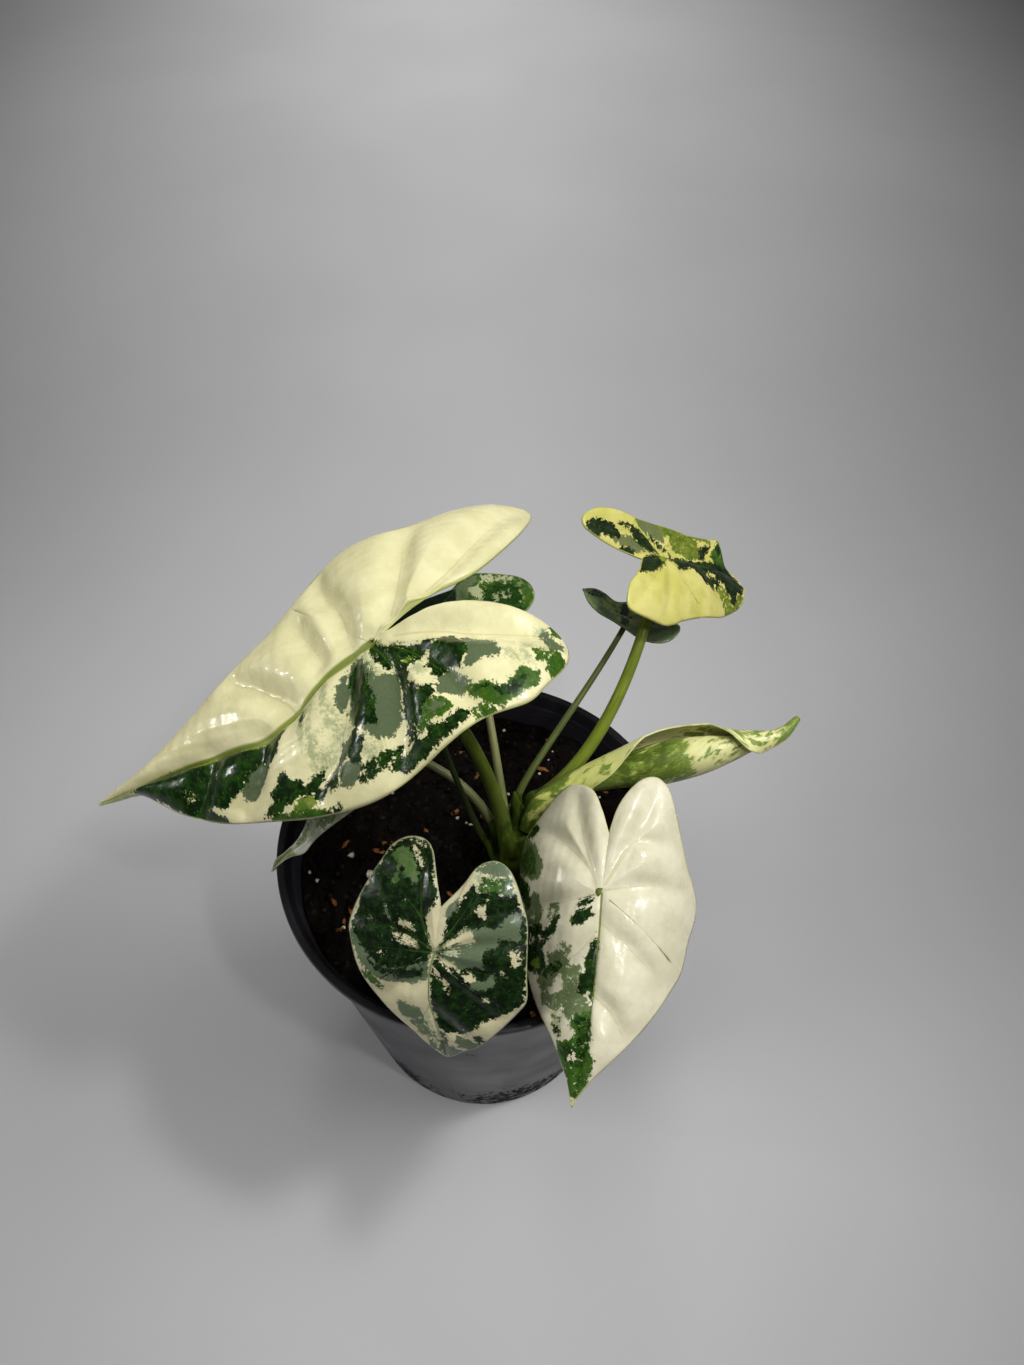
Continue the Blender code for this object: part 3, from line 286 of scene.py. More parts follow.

# Variegation, painted for each leaf as closed outlines in its own flat millimetres, (across,
# along). Each has a pigment and how solid it is: 3 is solid, and near 0 the pigment breaks up into
# flecks. An outline clears the denser pigments painted before it; "cream" outlines clear them all.
# Some outlines stand for painted shade or a painted sheen rather than pigment; each is marked where it
# stands.
PIGMENTS = ("sage", "grey", "olive", "middle", "dark")  # from the thinnest to the densest
PIGMENT_OVERLAP = 0.8  # how far a thinner pigment runs on under a denser one
MARKINGS = {
    "1": [
        ("dark", 3, [(-1, 121), (-4.5, 113), (-9, 103), (-16, 93), (-21.5, 84), (-24, 75), (-21, 76),
            (-17.5, 80.5), (-16, 82.5), (-16.5, 79), (-19, 74.5), (-17, 71), (-15.8, 68.5), (-14.3, 64),
            (-11.3, 61.5), (-9, 58), (-8.2, 55.6), (-9.4, 53.4), (-11.4, 51), (-12.5, 48.6), (-10.8, 45.6),
            (-7.8, 43.9), (-4.3, 41.5), (-2.5, 40.4), (-2, 45), (-1.4, 52), (-0.6, 62), (-0.2, 76), (0, 92),
            (0, 106)]),
        ("middle", 0.14, [(-11, 92.5), (-7.5, 93), (-6, 89), (-9, 87.5), (-12, 90)]),
        ("dark", 0.7, [(-16.6, 53.5), (-14.4, 52.6), (-12.4, 50.4), (-13, 50.2), (-15, 51.8)]),
        ("grey", 2.4, [(-18.4, 63.6), (-17.2, 65.4), (-15.2, 64.5), (-13.7, 63.3), (-10.8, 60.9),
            (-8.7, 58.3), (-7.8, 56), (-10.2, 53.3), (-11.4, 51), (-13.1, 51.5), (-15.5, 53.9),
            (-16.6, 56.8), (-17.8, 59.2), (-19.3, 61)]),
        ("dark", 1.4, [(-27.4, 59.8), (-26.4, 56.8), (-25.5, 53.9), (-23.1, 53.3), (-22.2, 50.9),
            (-21.4, 48.9), (-19.6, 48.3), (-18.7, 45.4), (-20.8, 44.5), (-23.4, 43.9), (-24, 42.1),
            (-25.5, 40.6), (-26.9, 41.2), (-27.8, 39.8), (-29, 40.4), (-29.3, 42.7), (-28.7, 44.5),
            (-29.6, 47.7), (-28.6, 50.4), (-29.6, 52.7), (-29.3, 56.2)]),
        ("middle", 1.26, [(-29.4, 57), (-31.4, 53.6), (-33.4, 50.9), (-35.5, 47.4), (-37.5, 43.3),
            (-39.3, 40.4), (-41, 37), (-39.4, 37), (-38, 38.6), (-36.4, 40.6), (-34.9, 43.4), (-33.6, 46.6),
            (-32.5, 49.6), (-31.2, 52.1), (-29.4, 54.4)]),
        ("dark", 0.35, [(-41, 38), (-37.6, 40), (-38.6, 36), (-39.4, 33), (-40.4, 34)]),
        ("olive", 1.6, [(-34.3, 44.6), (-32.6, 46.8), (-30.8, 46), (-30.2, 43), (-31, 41), (-33.4, 41)]),
        ("dark", 0.84, [(-29.8, 43), (-27, 41), (-26, 38.4), (-25.6, 33.6), (-27.2, 34), (-28.6, 36.6),
            (-30.2, 39)]),
        ("dark", 2.0, [(-34, 38.8), (-31.9, 40.2), (-30.2, 39.8), (-29.9, 37.4), (-31.1, 36.2),
            (-29.6, 34.2), (-29.2, 31.5), (-28.4, 29.5), (-26.9, 27.8), (-24.9, 26), (-22.8, 23.9),
            (-24, 22.5), (-24.3, 20.4), (-23.7, 19.2), (-24.3, 18.1), (-23.7, 16.6), (-25.5, 16.3),
            (-27.5, 17.8), (-28.1, 15.7), (-29.3, 16), (-30.8, 17.8), (-32.5, 18.9), (-34.3, 20.4),
            (-33.4, 21.9), (-31.4, 22.8), (-29.9, 24.2), (-29.6, 27.2), (-30.8, 29.2), (-32.8, 29.5),
            (-34.8, 31.2), (-34.3, 33.9), (-32.2, 34.2), (-32.8, 36.2)]),
        ("grey", 2.6, [(-36.8, 27.2), (-35.5, 28.6), (-33.1, 28.6), (-31.2, 27.4), (-30.8, 24.5),
            (-31.8, 22.3), (-34.9, 21.9), (-36.6, 22.8), (-37.2, 25.1)]),
        ("cream", 0.5, [(-31.8, 29), (-29.6, 26.6), (-29.6, 23.6), (-31.2, 22.9), (-30.6, 25),
            (-31.2, 27.2)]),
        ("sage", 1.2, [(-23.6, 22.6), (-21, 20.4), (-20, 18.8), (-23, 17.6), (-24.2, 20)]),
        ("sage", 1.4, [(-26.5, 34.2), (-22, 35.6), (-16, 35.2), (-9, 35), (-3, 34), (-1.6, 28),
            (-1.7, 20.9), (-7.8, 22.2), (-12.5, 21.4), (-19.6, 22.7), (-23.7, 24.4), (-26, 29)]),
        ("cream", 0.35, [(-21, 29.5), (-14, 30.5), (-7, 27.4), (-3, 27), (-6, 25), (-13, 26.2), (-20, 27)]),
        ("dark", 0.63, [(-9.2, 34), (-4.4, 34.2), (-3.4, 32.6), (-7, 32.4)]),
        ("grey", 2.2, [(-14, 19.9), (-11.4, 19.9), (-9, 18.9), (-6.6, 17.5), (-5.2, 15.7), (-5.4, 14.4),
            (-7.8, 15.3), (-10.8, 16.8), (-13, 18.2)]),
        # Grey-green pigment with a painted bluish-grey sheen: this grey field is partly each
        ("grey", 3, [(-31.6, 11.6), (-30.2, 12.7), (-26.6, 13.6), (-24, 15.6), (-22.5, 16.8), (-18.4, 17.6),
            (-14.9, 15.6), (-12.5, 15.3), (-9, 14.7), (-5.5, 12.7), (-3.5, 10.1), (-2.9, 8.1), (-5, 6),
            (-7.8, 5.3), (-10.2, 5.2), (-14.3, 4.7), (-15.2, 3.1), (-15.2, 0.7), (-17.2, -1.6),
            (-20.8, -0.5), (-23.7, 1.3), (-27.8, 3.6), (-31.4, 6.6), (-32.7, 9.5)]),
        ("dark", 1.54, [(-24, 16), (-18.4, 17.6), (-14, 15.3), (-9, 14.4), (-5.5, 12.2), (-4, 9), (-6, 6.3),
            (-12, 6), (-18, 6.8), (-24, 8.5), (-28, 10.4), (-26, 12.7)]),
        ("sage", 1.4, [(-15, 4.8), (-5, 5), (-1.6, 4), (-3, 2.6), (-10, 2), (-15.2, 0.6)]),
        ("dark", 0.84, [(-14, -0.2), (-9, 1.6), (-5, 2.6), (-1.4, 2.2), (-1, -1), (-4, -3.6), (-8, -3.6),
            (-14, -3)]),
        ("dark", 0.49, [(-39, 23.8), (-37.8, 23.6), (-35.8, 20.1), (-36.2, 16.6), (-36.2, 12.5),
            (-37.8, 7.8), (-39, 10.1), (-39.5, 15.4), (-40.8, 20.4)]),
        ("sage", 0.98, [(-36.6, 17.5), (-33, 18.5), (-30.6, 16.2), (-28, 15.6), (-30, 13.3), (-34.5, 12.6),
            (-36, 14)]),
        ("dark", 1.4, [(-45.6, 11.5), (-41.4, 14), (-39.6, 13.6), (-40, 10.1), (-41.4, 7.8), (-41.2, 3.6),
            (-43, 0.9), (-41.2, -2.2), (-41.8, -5.8), (-43.4, -8.7), (-42.6, -11.6), (-42, -14.6),
            (-42.6, -18.1), (-44.6, -18.6), (-46, -15.8), (-46.4, -8.7), (-46.8, -1), (-46.6, 6)]),
        ("dark", 0.42, [(-40, 6.2), (-35.6, 5.4), (-34.8, 1.6), (-38, 0.6), (-40.6, 2.6)]),
        ("dark", 2.2, [(-37.4, 0.3), (-35.5, 2.7), (-31.9, 3.2), (-28.4, 2.4), (-25.3, 0.5), (-25.2, -4.6),
            (-26.2, -6.6), (-29.6, -6.9), (-30.2, -9.3), (-30.3, -11.8), (-33.1, -11.4), (-34.5, -8.1),
            (-34.8, -4.6), (-37.4, -2.8)]),
        ("middle", 0.49, [(-40.6, 0.6), (-37.4, 0.6), (-35, -4), (-35, -9), (-37, -12.2), (-39.6, -13.2),
            (-40.4, -9), (-39.6, -4.6)]),
        ("grey", 0.98, [(-39.6, -4.8), (-36, -5.4), (-35.3, -9), (-37, -12), (-39.5, -13), (-40.2, -9)]),
        ("dark", 0.35, [(-25.2, 0.6), (-22, -1), (-21.6, -5.6), (-25, -4.8)]),
        ("dark", 1.19, [(-22.6, -0.7), (-18.4, -1.8), (-13.7, -2.8), (-7.8, -3.2), (-4.4, -3.2),
            (-7.4, -7.3), (-10.6, -10.8), (-12.9, -13.4), (-14.1, -17.5), (-15.2, -20.2), (-16.8, -19.3),
            (-17.1, -15.8), (-17.4, -11.6), (-18.3, -9.9), (-19.8, -7.3), (-21.9, -6.7), (-23.4, -4.6)]),
        ("olive", 0.7, [(-18.6, -5.4), (-15, -5), (-13.4, -8.4), (-15, -11), (-18, -9)]),
        ("grey", 1.4, [(-36.6, -17.5), (-34.3, -14.6), (-33.7, -12), (-31.2, -13.2), (-28.2, -14.4),
            (-27, -18.7), (-28.4, -20.1), (-31.4, -18.9), (-34.3, -20.1), (-36.4, -19.3)]),
        ("sage", 1.2, [(-24, -8.2), (-22.3, -8.2), (-20.2, -8.2), (-18.4, -10.2), (-19.6, -11.8),
            (-23, -12), (-25, -10.4)]),
        ("dark", 2.6, [(-26.8, -13.2), (-23.1, -13.1), (-21.1, -12.3), (-19.4, -14.4), (-17, -16.2),
            (-16.2, -19.9), (-15, -21.4), (-15.9, -24.8), (-18.8, -26.9), (-20.2, -27.7), (-23.1, -28),
            (-26.6, -27.1), (-28.3, -24.6), (-29.2, -22.8), (-28.3, -21.1), (-26.6, -19.3), (-27.7, -16.9),
            (-27.4, -14.6)]),
        ("grey", 1.8, [(-29.8, -24.6), (-27.8, -26.9), (-22.5, -28.1), (-19.7, -27.2), (-20, -29.5),
            (-21.9, -30.4), (-23.4, -30.7), (-22.9, -33.1), (-24.1, -35.6), (-26.1, -36.8), (-28.4, -35.3),
            (-29.6, -37), (-30.7, -34.8), (-29.7, -31.3), (-29.8, -29.9), (-30.7, -27.5)]),
        ("middle", 1.2, [(-36.2, -22), (-38, -25.2), (-38.9, -27.7), (-39.6, -29.7), (-42, -31.8),
            (-42.9, -34.2), (-42.3, -36.6), (-40.3, -36.8), (-39.7, -40.1), (-37, -43.1), (-37.9, -46),
            (-39.2, -48.6), (-42, -46.8), (-42.4, -43.1), (-44, -40.1), (-44.8, -37.2), (-45.1, -34.2),
            (-46, -30.7), (-44.2, -27), (-41.4, -25.2), (-39.6, -22.6)]),
        ("dark", 0.7, [(-38.4, -24.6), (-40, -29), (-44, -32), (-44.4, -38), (-40, -44), (-38.4, -44),
            (-41.4, -36.4), (-41, -30)]),
        ("grey", 0.49, [(-39.5, -23), (-36, -22), (-33, -19.8), (-31.8, -21), (-36, -23.5)]),
        ("middle", 0.21, [(-47.6, -20), (-44.4, -19.6), (-44.2, -25), (-47, -27)]),
        ("sage", 0.84, [(-34.2, -43.2), (-32, -39.8), (-28.3, -38.8), (-28.6, -40.7), (-31.6, -42)]),
        ("sage", 1.12, [(-34.7, -46), (-31, -44.8), (-27.8, -46.8), (-27.6, -53), (-30, -55.4),
            (-32.5, -51), (-35, -49)]),
        ("middle", 0.49, [(-34, -50.4), (-31.4, -49.8), (-31.2, -54.2), (-33.6, -54.2)]),
        ("middle", 1.26, [(-39.4, -55.2), (-37.5, -53.3), (-34, -55.8), (-31.8, -57), (-31.8, -59.7),
            (-34.8, -60.3), (-37.7, -58.6)]),
        ("sage", 1.4, [(-31, -54.5), (-24, -54.3), (-21.4, -53.3), (-21.4, -57.2), (-24, -58.8),
            (-27, -58.3), (-28, -62.7), (-30.2, -62.7), (-31.6, -58)]),
        ("grey", 0.7, [(-30, -56.4), (-24, -55.4), (-22, -57), (-26, -58.2), (-28.6, -60.8),
            (-29.8, -60.8)]),
        ("middle", 0.7, [(-24.6, -60.2), (-21.8, -59.8), (-22.4, -62), (-24.6, -62)]),
    ],
    "2": [
        ("middle", 0.35, [(-2.8, -21), (3.4, -26), (11.7, -28), (17.5, -24), (24, -6), (22, 0), (14, 5),
            (5, 3), (0.6, -12)]),
        ("grey", 1.5, [(8, 3.4), (16, 4.5), (20, 1), (21.5, -4), (20.1, -8), (15.1, -7.4), (13.5, -3.4),
            (8.6, -2), (6, 0)]),
        ("dark", 1.2, [(-4.1, -19), (4, -3.4), (7.2, -7.5), (11.4, -8.6), (13.5, -14), (12.1, -20),
            (8.5, -22), (3.8, -21), (1.3, -23)]),
        ("cream", 1.4, [(10.4, -2.8), (14, -3.2), (14.4, -6.6), (10.3, -8), (6.4, -6.6), (7.2, -5)]),
        ("cream", 0.5, [(15.2, -8), (20.1, -8), (18.9, -13), (16, -20.5), (14.4, -21), (15.3, -14)]),
        ("cream", 0.1, [(4.6, -11), (8.2, -11), (10, -18), (6.7, -18)]),
    ],
    "3": [
        ("dark", 2.4, [(0.4, 50.5), (3.6, 48.7), (6.5, 47), (7.5, 43.2), (9.3, 41.8), (11.2, 41.8),
            (13.6, 40.6), (13.7, 38.6), (10.8, 37.4), (10.2, 35), (7, 33.5), (6.4, 29.4), (9.3, 29),
            (8.7, 27.6), (7.2, 26.8), (10.4, 26.2), (10.8, 23), (9.2, 20), (7.4, 17.6), (4.7, 15),
            (3.7, 13), (4.6, 10), (5.2, 6.4), (4, 4.6), (2.8, 6.4), (1.1, 3), (-1, 8), (-1, 14), (-1.2, 20),
            (-2.6, 27), (-2.9, 33), (-2, 39), (-1, 45)]),
        ("cream", 0.15, [(3.3, 27), (6.1, 29), (5.8, 24), (3.4, 22)]),
        ("dark", 2.4, [(-0.9, 1.6), (1.5, 0.4), (3.5, -2), (4.6, -5), (5.9, -9), (6.9, -13), (6.9, -17.4),
            (3.6, -15), (0.8, -13), (-0.9, -10), (-1.9, -5)]),
        ("dark", 0.35, [(0, 6.4), (-2.8, 5), (-7.3, 1.4), (-10.9, -3.4), (-9.9, -4), (-6.1, 0), (-2.7, 3)]),
        ("dark", 1.6, [(-2.3, -1), (-6.6, -3.6), (-11.1, -5), (-12.4, -8), (-15, -11), (-12.9, -13.6),
            (-9.5, -11.6), (-6.2, -9.4), (-3.6, -6)]),
        ("dark", 0.7, [(-15.3, -12), (-13.9, -15), (-14.9, -18.4), (-16.3, -17)]),
        ("dark", 2.4, [(-11.6, -17.4), (-8.5, -19.6), (-9.1, -24), (-10.6, -27.4), (-10, -31),
            (-12.7, -33.6), (-15.7, -33.6), (-17.3, -30), (-16.7, -25), (-14.7, -20.6)]),
        ("dark", 1.6, [(-3.4, -14), (-1.7, -15.4), (-3.4, -19.4), (-5, -21.6), (-5.4, -18)]),
        ("dark", 1.6, [(-11, 31.4), (-6, 27.6), (-2.8, 25), (-3, 22.6), (-7.5, 22.4), (-9.1, 25),
            (-10.9, 28.6)]),
        ("middle", 1.0, [(-15.6, 36.6), (-9.5, 38), (-3.9, 39), (-2.2, 40.4), (-1.6, 33), (-5.8, 31),
            (-11.6, 35)]),
        ("dark", 0.4, [(-14.5, 36), (-9.4, 36.8), (-7.1, 35), (-11.5, 34.6)]),
        # Painted shade: these three olive outlines darken the far half and the right side, where the blade
        # turns from the light
        ("olive", 0.9, [(-16.2, 22), (-13.2, 30), (-13, 12), (-10.7, 3.4), (-15, 0), (-16.7, 8)]),
        ("olive", 0.7, [(-11.9, 22), (-4.2, 22), (-1.9, 15), (-6.3, 8), (-11.8, 8)]),
        ("olive", 0.3, [(7.8, 46.6), (14.9, 41), (18, 34), (13.4, 33), (8.7, 27.6), (9.7, 34), (14.1, 38.4),
            (10.1, 42.6)]),
        ("grey", 1.2, [(-12.9, 4), (-8, 3), (-10.8, -2), (-14.3, -6), (-18.1, -8.6), (-17.7, -3),
            (-15.6, 2)]),
        ("grey", 1.4, [(-8.4, -11), (-6.3, -10), (-3.6, -9), (-4, -14), (-6.5, -19), (-8.5, -22.6),
            (-10, -20), (-10, -15)]),
    ],
    "4": [
        ("grey", 3, [(-16, 24), (12, 24), (15.8, -22), (-18.2, -22)]),
        ("olive", 1.4, [(2, 11.4), (6, 12.6), (10, 11), (8.6, 4.2), (-2, 3.6), (-6, 4.4)]),
        ("olive", 0.5, [(-7, 19), (-3, 20), (-6, 15.4)]),
        # Painted shadow: this dark band across the blade by the petiole's joint is a shadow line
        ("dark", 2.2, [(-7.4, 3), (0, 3.6), (7, 3.8), (9.6, 0.4), (5, 0.6), (-4, 0.4), (-7.6, 1.6)]),
        ("olive", 1.2, [(-6.4, 0.2), (5, 0), (1.6, -4.6), (-4.3, -4)]),
        ("olive", 0.6, [(-3.5, -9), (0.4, -12), (1.5, -19.6), (-4.4, -19.6), (-3.9, -13)]),
        ("dark", 0.2, [(0, 20), (6, 17.6), (8.4, 12), (5, 13), (2, 16)]),
    ],
    "6": [
        ("middle", 0.75, [(-1.3, 67), (0.9, 67), (2.9, 61.6), (6, 58.6), (9.2, 55.4), (10, 51.6),
            (5.6, 50.2), (3.3, 47.6), (3.1, 44.4), (5.4, 44.4), (5.9, 42.2), (2.6, 40.8), (0.3, 40),
            (-0.2, 45), (-0.9, 51), (-3, 53.8), (-2.9, 57), (-2.8, 60.4)]),
        ("dark", 0.25, [(0.1, 57), (8.2, 54.6), (9.4, 51.8), (2.7, 50.6), (2.7, 44), (5.5, 42), (0.7, 40.6),
            (-0.1, 48)]),
        ("cream", 0.3, [(2.3, 54.6), (5.7, 56.6), (5.9, 54), (3.5, 52.4)]),
        ("dark", 0.9, [(9.9, 49.6), (13, 48.2), (12.8, 46.6), (9.5, 47.4)]),
        ("grey", 0.1, [(11.4, 46), (14.3, 46), (13.9, 43.4), (12, 43.6)]),
        ("grey", 0.55, [(1.7, 41.6), (8.4, 41.8), (10.4, 39.2), (14.3, 40.6), (19.2, 40.2), (19.8, 37.6),
            (14.3, 36.2), (9.9, 34), (11.3, 29), (9.7, 26), (5.6, 25.4), (3.7, 30), (5.1, 34), (0.9, 37)]),
        ("dark", 2.4, [(0.5, 37.6), (1.6, 31.6), (3.3, 34), (5.5, 33.8), (5, 29), (3.4, 26), (3.9, 22),
            (2.3, 19), (1.9, 16), (0.7, 13.6), (-0.3, 17), (-0.3, 24), (-0.2, 31)]),
        ("grey", 2.6, [(19.2, 35.7), (23.1, 33.6), (22.1, 30), (18.2, 27.4), (18.5, 23.4), (14.2, 22.4),
            (10.6, 24), (11.6, 27), (15.2, 30), (16.8, 33)]),
        ("dark", 0.3, [(18.8, 31), (21.7, 31), (21.1, 28), (15.2, 24.6), (12.2, 25.6), (14.2, 28)]),
        ("dark", 1.3, [(20.9, 28), (23.7, 31.6), (26.1, 30.4), (29.1, 31), (33.1, 29.4), (35, 22), (35, 14),
            (28, 13.6), (24.1, 13), (22.1, 15), (19.7, 13.6), (19.1, 11.6), (15.5, 8.8), (15.5, 12),
            (18.1, 16), (20.5, 19), (22.1, 22), (20.3, 24.6)]),
        ("middle", 1.2, [(22.1, 29), (27.1, 30), (29.1, 27), (25.1, 25.6), (21.7, 26)]),
        ("cream", 0.4, [(21.1, 19.4), (24.1, 19), (24.5, 16.6), (21.7, 17)]),
        ("cream", 0.1, [(27.1, 20.6), (30.1, 20.6), (30, 17), (27.1, 17)]),
        ("grey", 1.0, [(25.6, 13), (33, 12.6), (35, 9), (33.4, 5), (30, 2), (27.2, 2.4), (26, 6), (25, 9)]),
        ("cream", 0.3, [(28, 12), (31, 11), (29, 9.4)]),
        ("dark", 1.6, [(32, 7.6), (35, 7.2), (38, 4), (41.4, 1), (43.2, -4), (43.2, -6.4), (40, -5.4),
            (37, -3.4), (34, -2), (32.4, 1), (31.4, 4)]),
        ("grey", 2.4, [(28.4, -4), (32, -4.6), (35, -6.2), (38, -5.6), (43, -8), (43.4, -13), (41.4, -18),
            (38.1, -19.6), (35.1, -17), (31.1, -16.2), (29.5, -12), (26.5, -10), (26.5, -7.4)]),
        ("middle", 0.3, [(30, -6), (38, -8), (42, -12), (36.1, -16), (31.1, -12)]),
        ("dark", 0.9, [(34.1, -20.6), (39.1, -20.2), (37.1, -23.4), (33.1, -25.2), (30.9, -25),
            (31.1, -22.6)]),
        ("dark", 1.0, [(2.9, 7.6), (5.7, 10.4), (9.7, 11.8), (11.1, 9.4), (8.5, 6.6), (5.1, 5),
            (3.1, 5.4)]),
        ("dark", 0.9, [(3.3, 3.6), (7.1, 5), (9, 4.2), (6, 2.2), (3.6, 1.4)]),
        ("grey", 0.02, [(10.6, 20.4), (13.2, 20.4), (12.8, 18.4), (10.8, 18.6)]),
        ("grey", 0.1, [(16.7, 9), (20.1, 10), (20.6, 6), (17.4, 5.4)]),
        ("olive", 1.4, [(22, 29), (26.4, 30.4), (29, 27.6), (26, 23.6), (22.4, 24.6)]),
        ("sage", 1.2, [(16.6, 10.4), (20.4, 10.6), (21, 6.6), (17.6, 5)]),
        ("sage", 0.8, [(10.4, 46.4), (14.4, 46.6), (14, 43), (11.6, 43)]),
    ],
    "7": [
        ("dark", 3, [(-0.7, 1.4), (-0.9, 10), (-0.9, 22), (-1, 28.3), (-2.9, 29.7), (-5.2, 30.4),
            (-7.5, 31.2), (-9.3, 30.4), (-9.3, 28.8), (-11, 28.9), (-12.9, 28.1), (-13.7, 26.6),
            (-15.6, 26), (-18.7, 25.4), (-20.2, 24.7), (-24.5, 23.1), (-27.5, 21.4), (-29.6, 19.5),
            (-30.4, 15.2), (-30.6, 9.8), (-31, 5.2), (-31, -2), (-30.6, -6.3), (-29.4, -12.5), (-27.7, -17),
            (-25.6, -21.4), (-22, -20.6), (-17, -21), (-13.4, -20.6), (-11, -23), (-9.6, -21),
            (-7.5, -17.6), (-6, -14), (-3.5, -10.9), (-3, -8), (-2.6, -5)]),
        ("cream", 0.35, [(-29.6, 3.6), (-26.6, 4), (-25, 1), (-25.6, -2), (-29.4, -1.6)]),
        ("grey", 2.6, [(-21.4, 14.9), (-20, 12.9), (-17.5, 13.5), (-13.7, 13.1), (-12.3, 11.9),
            (-11.6, 9.9), (-12, 6.6), (-15.2, 7.3), (-17.5, 8.9), (-18.7, 6.6), (-20.2, 5.8), (-21.6, 7.5),
            (-21.2, 11.4)]),
        ("cream", 1.4, [(-15.6, 9.5), (-12, 10), (-10.8, 8.6), (-10.8, 6.8), (-14, 6.8)]),
        ("cream", 0.7, [(-19.2, 17.6), (-17, 17.6), (-17.3, 15.2), (-18.6, 15.8)]),
        ("cream", 1.2, [(-24.6, 8.4), (-22.8, 7.4), (-23, 5.6), (-24.6, 6)]),
        ("grey", 3, [(-18.3, 5.6), (-12.9, 5.4), (-9.5, 6.6), (-5.2, 5.4), (-2.2, 2.7), (-1, 0.6),
            (-2, -0.8), (-4.5, -3.2), (-5.4, -5), (-7.3, -7.8), (-10.4, -9.6), (-13.7, -10), (-17.5, -10.4),
            (-20.4, -9.8), (-22, -12.7), (-23.7, -15), (-27.5, -15.7), (-29.3, -12.5), (-29.8, -7.8),
            (-30.2, -4.6), (-27.5, -3.8), (-24.5, -5.3), (-22.2, -4.6), (-21.8, -2.1), (-17.9, -0.9),
            (-17.9, 2.9)]),
        ("cream", 1.6, [(-9.8, 6.6), (-5.2, 5.4), (-2.2, 2.7), (-1, 0.6), (-2.4, 0.4), (-4.5, 2),
            (-7.5, 3.9)]),
        ("sage", 1.6, [(-9, 1.8), (-4, 1.4), (-1.4, 0), (-4.4, -1.6), (-8, -2.8), (-10.4, -0.6)]),
        ("cream", 1.8, [(-13.9, -4), (-10.6, -3), (-7.5, -3.8), (-5.2, -1.9), (-3, -1.4), (-3.7, -3.4),
            (-6.8, -6.1), (-9.1, -7.3), (-12.2, -8.4), (-13.5, -7.1)]),
        ("cream", 1.0, [(-17.4, -12), (-14.6, -12.4), (-13.2, -15), (-14.2, -16.6), (-15.4, -16.4),
            (-17.2, -18.6), (-16.8, -15)]),
        ("cream", 3, [(-2, -3), (-2.2, -5.5), (-3.2, -10.2), (-5.2, -14.5), (-7.9, -17.8), (-10.2, -21.7),
            (-11, -24.8), (-9.6, -27), (-5, -20), (0.2, -16), (2.2, -15), (4, -11), (3.4, -7), (2.4, -3.6),
            (0, -1)]),
        ("grey", 0.6, [(-6.8, -14.2), (-4.4, -11), (-3, -13.6), (-5.4, -16.6), (-7.4, -17.2)]),
        ("sage", 1.6, [(-26, -20), (-22, -19.6), (-17, -20.4), (-12.4, -20.4), (-10.6, -24), (-13, -28),
            (-17, -32), (-22, -31.4), (-25, -27)]),
        ("middle", 0.35, [(-24, -21.6), (-19, -20.4), (-14, -21.6), (-14.6, -25), (-20, -25.6),
            (-23.6, -26)]),
        ("grey", 0.7, [(-22.4, -27.4), (-15, -28), (-12.6, -28.4), (-16, -31.6), (-21, -31)]),
        ("cream", 0.35, [(-6.8, 14.4), (-4.4, 12), (-2, 7), (-1.4, 5.2), (-3.4, 7), (-6, 10.6)]),
        ("dark", 0.45, [(-14.4, 34.6), (-11, 34.8), (-10.8, 32), (-13, 31.2)]),
        ("grey", 0.9, [(-11.4, 38.4), (-7.5, 37.6), (-5.3, 35), (-5.9, 32.8), (-9, 34.9), (-11.6, 36)]),
        ("grey", 0.8, [(-5.4, 40.4), (-1, 42.6), (2, 38.6), (5, 38), (4, 34.8), (1, 35.5), (-2, 36.8)]),
        ("dark", 0.8, [(-1.8, 36), (-0.4, 35), (-0.5, 30), (-1.8, 30)]),
        ("sage", 1.0, [(0.6, 41), (3.4, 39), (5.4, 32), (8.4, 31), (10.4, 25), (6, 23.4), (2, 24),
            (0.6, 30)]),
        ("grey", 0.3, [(2.4, 31.6), (8, 31), (9.6, 26), (5, 25)]),
        ("grey", 1.8, [(5.3, 23.7), (9, 24.2), (13.2, 23.4), (13.6, 20.5), (12.9, 18.8), (9, 19.8),
            (5.8, 21.4)]),
        ("middle", 0.3, [(20.4, 14), (24, 12.2), (27.2, 10.5), (26.7, 9.3), (22, 11.4)]),
        # Painted sheen: this grey band along the lobe stands for a broad greyish reflection
        ("grey", 3, [(1.6, 9.8), (4.8, 10.8), (11.7, 11.2), (17.8, 10.8), (22.5, 9.7), (27.2, 6.2),
            (30.4, 2.4), (33.2, -3), (31.6, -4.2), (28, -0.6), (23, 3), (17, 4.4), (10, 3.8), (2, 2.4)]),
        ("dark", 0.5, [(3.6, 9.4), (12, 10), (20, 8.6), (25.4, 5.4), (18, 6.8), (10, 6.8), (3.6, 6.6)]),
        ("dark", 3, [(1.4, 3), (5, 5.2), (12, 6.4), (18, 6.2), (22, 5.1), (26.4, 2.6), (29.4, -0.5),
            (31.4, -3.2), (32.6, -7), (30.4, -13.2), (27.7, -19.4), (24.2, -25.5), (22.2, -30),
            (20.7, -33.4), (17.8, -35.5), (13.2, -37.8), (7.8, -36.6), (5.3, -32.5), (3.8, -26.3),
            (2.3, -21), (1.5, -17.8), (2.6, -14.8), (4.2, -11), (3.6, -7), (2.3, -3.2), (1.2, 0)]),
        ("olive", 0.25, [(17, 3.6), (22, 3), (22, 1.4), (17, 1.8)]),
        ("cream", 0.4, [(5.5, -0.6), (10, -0.8), (14, -2.4), (16.7, -4.4), (16.2, -6.2), (11, -4.4),
            (7.3, -2.8)]),
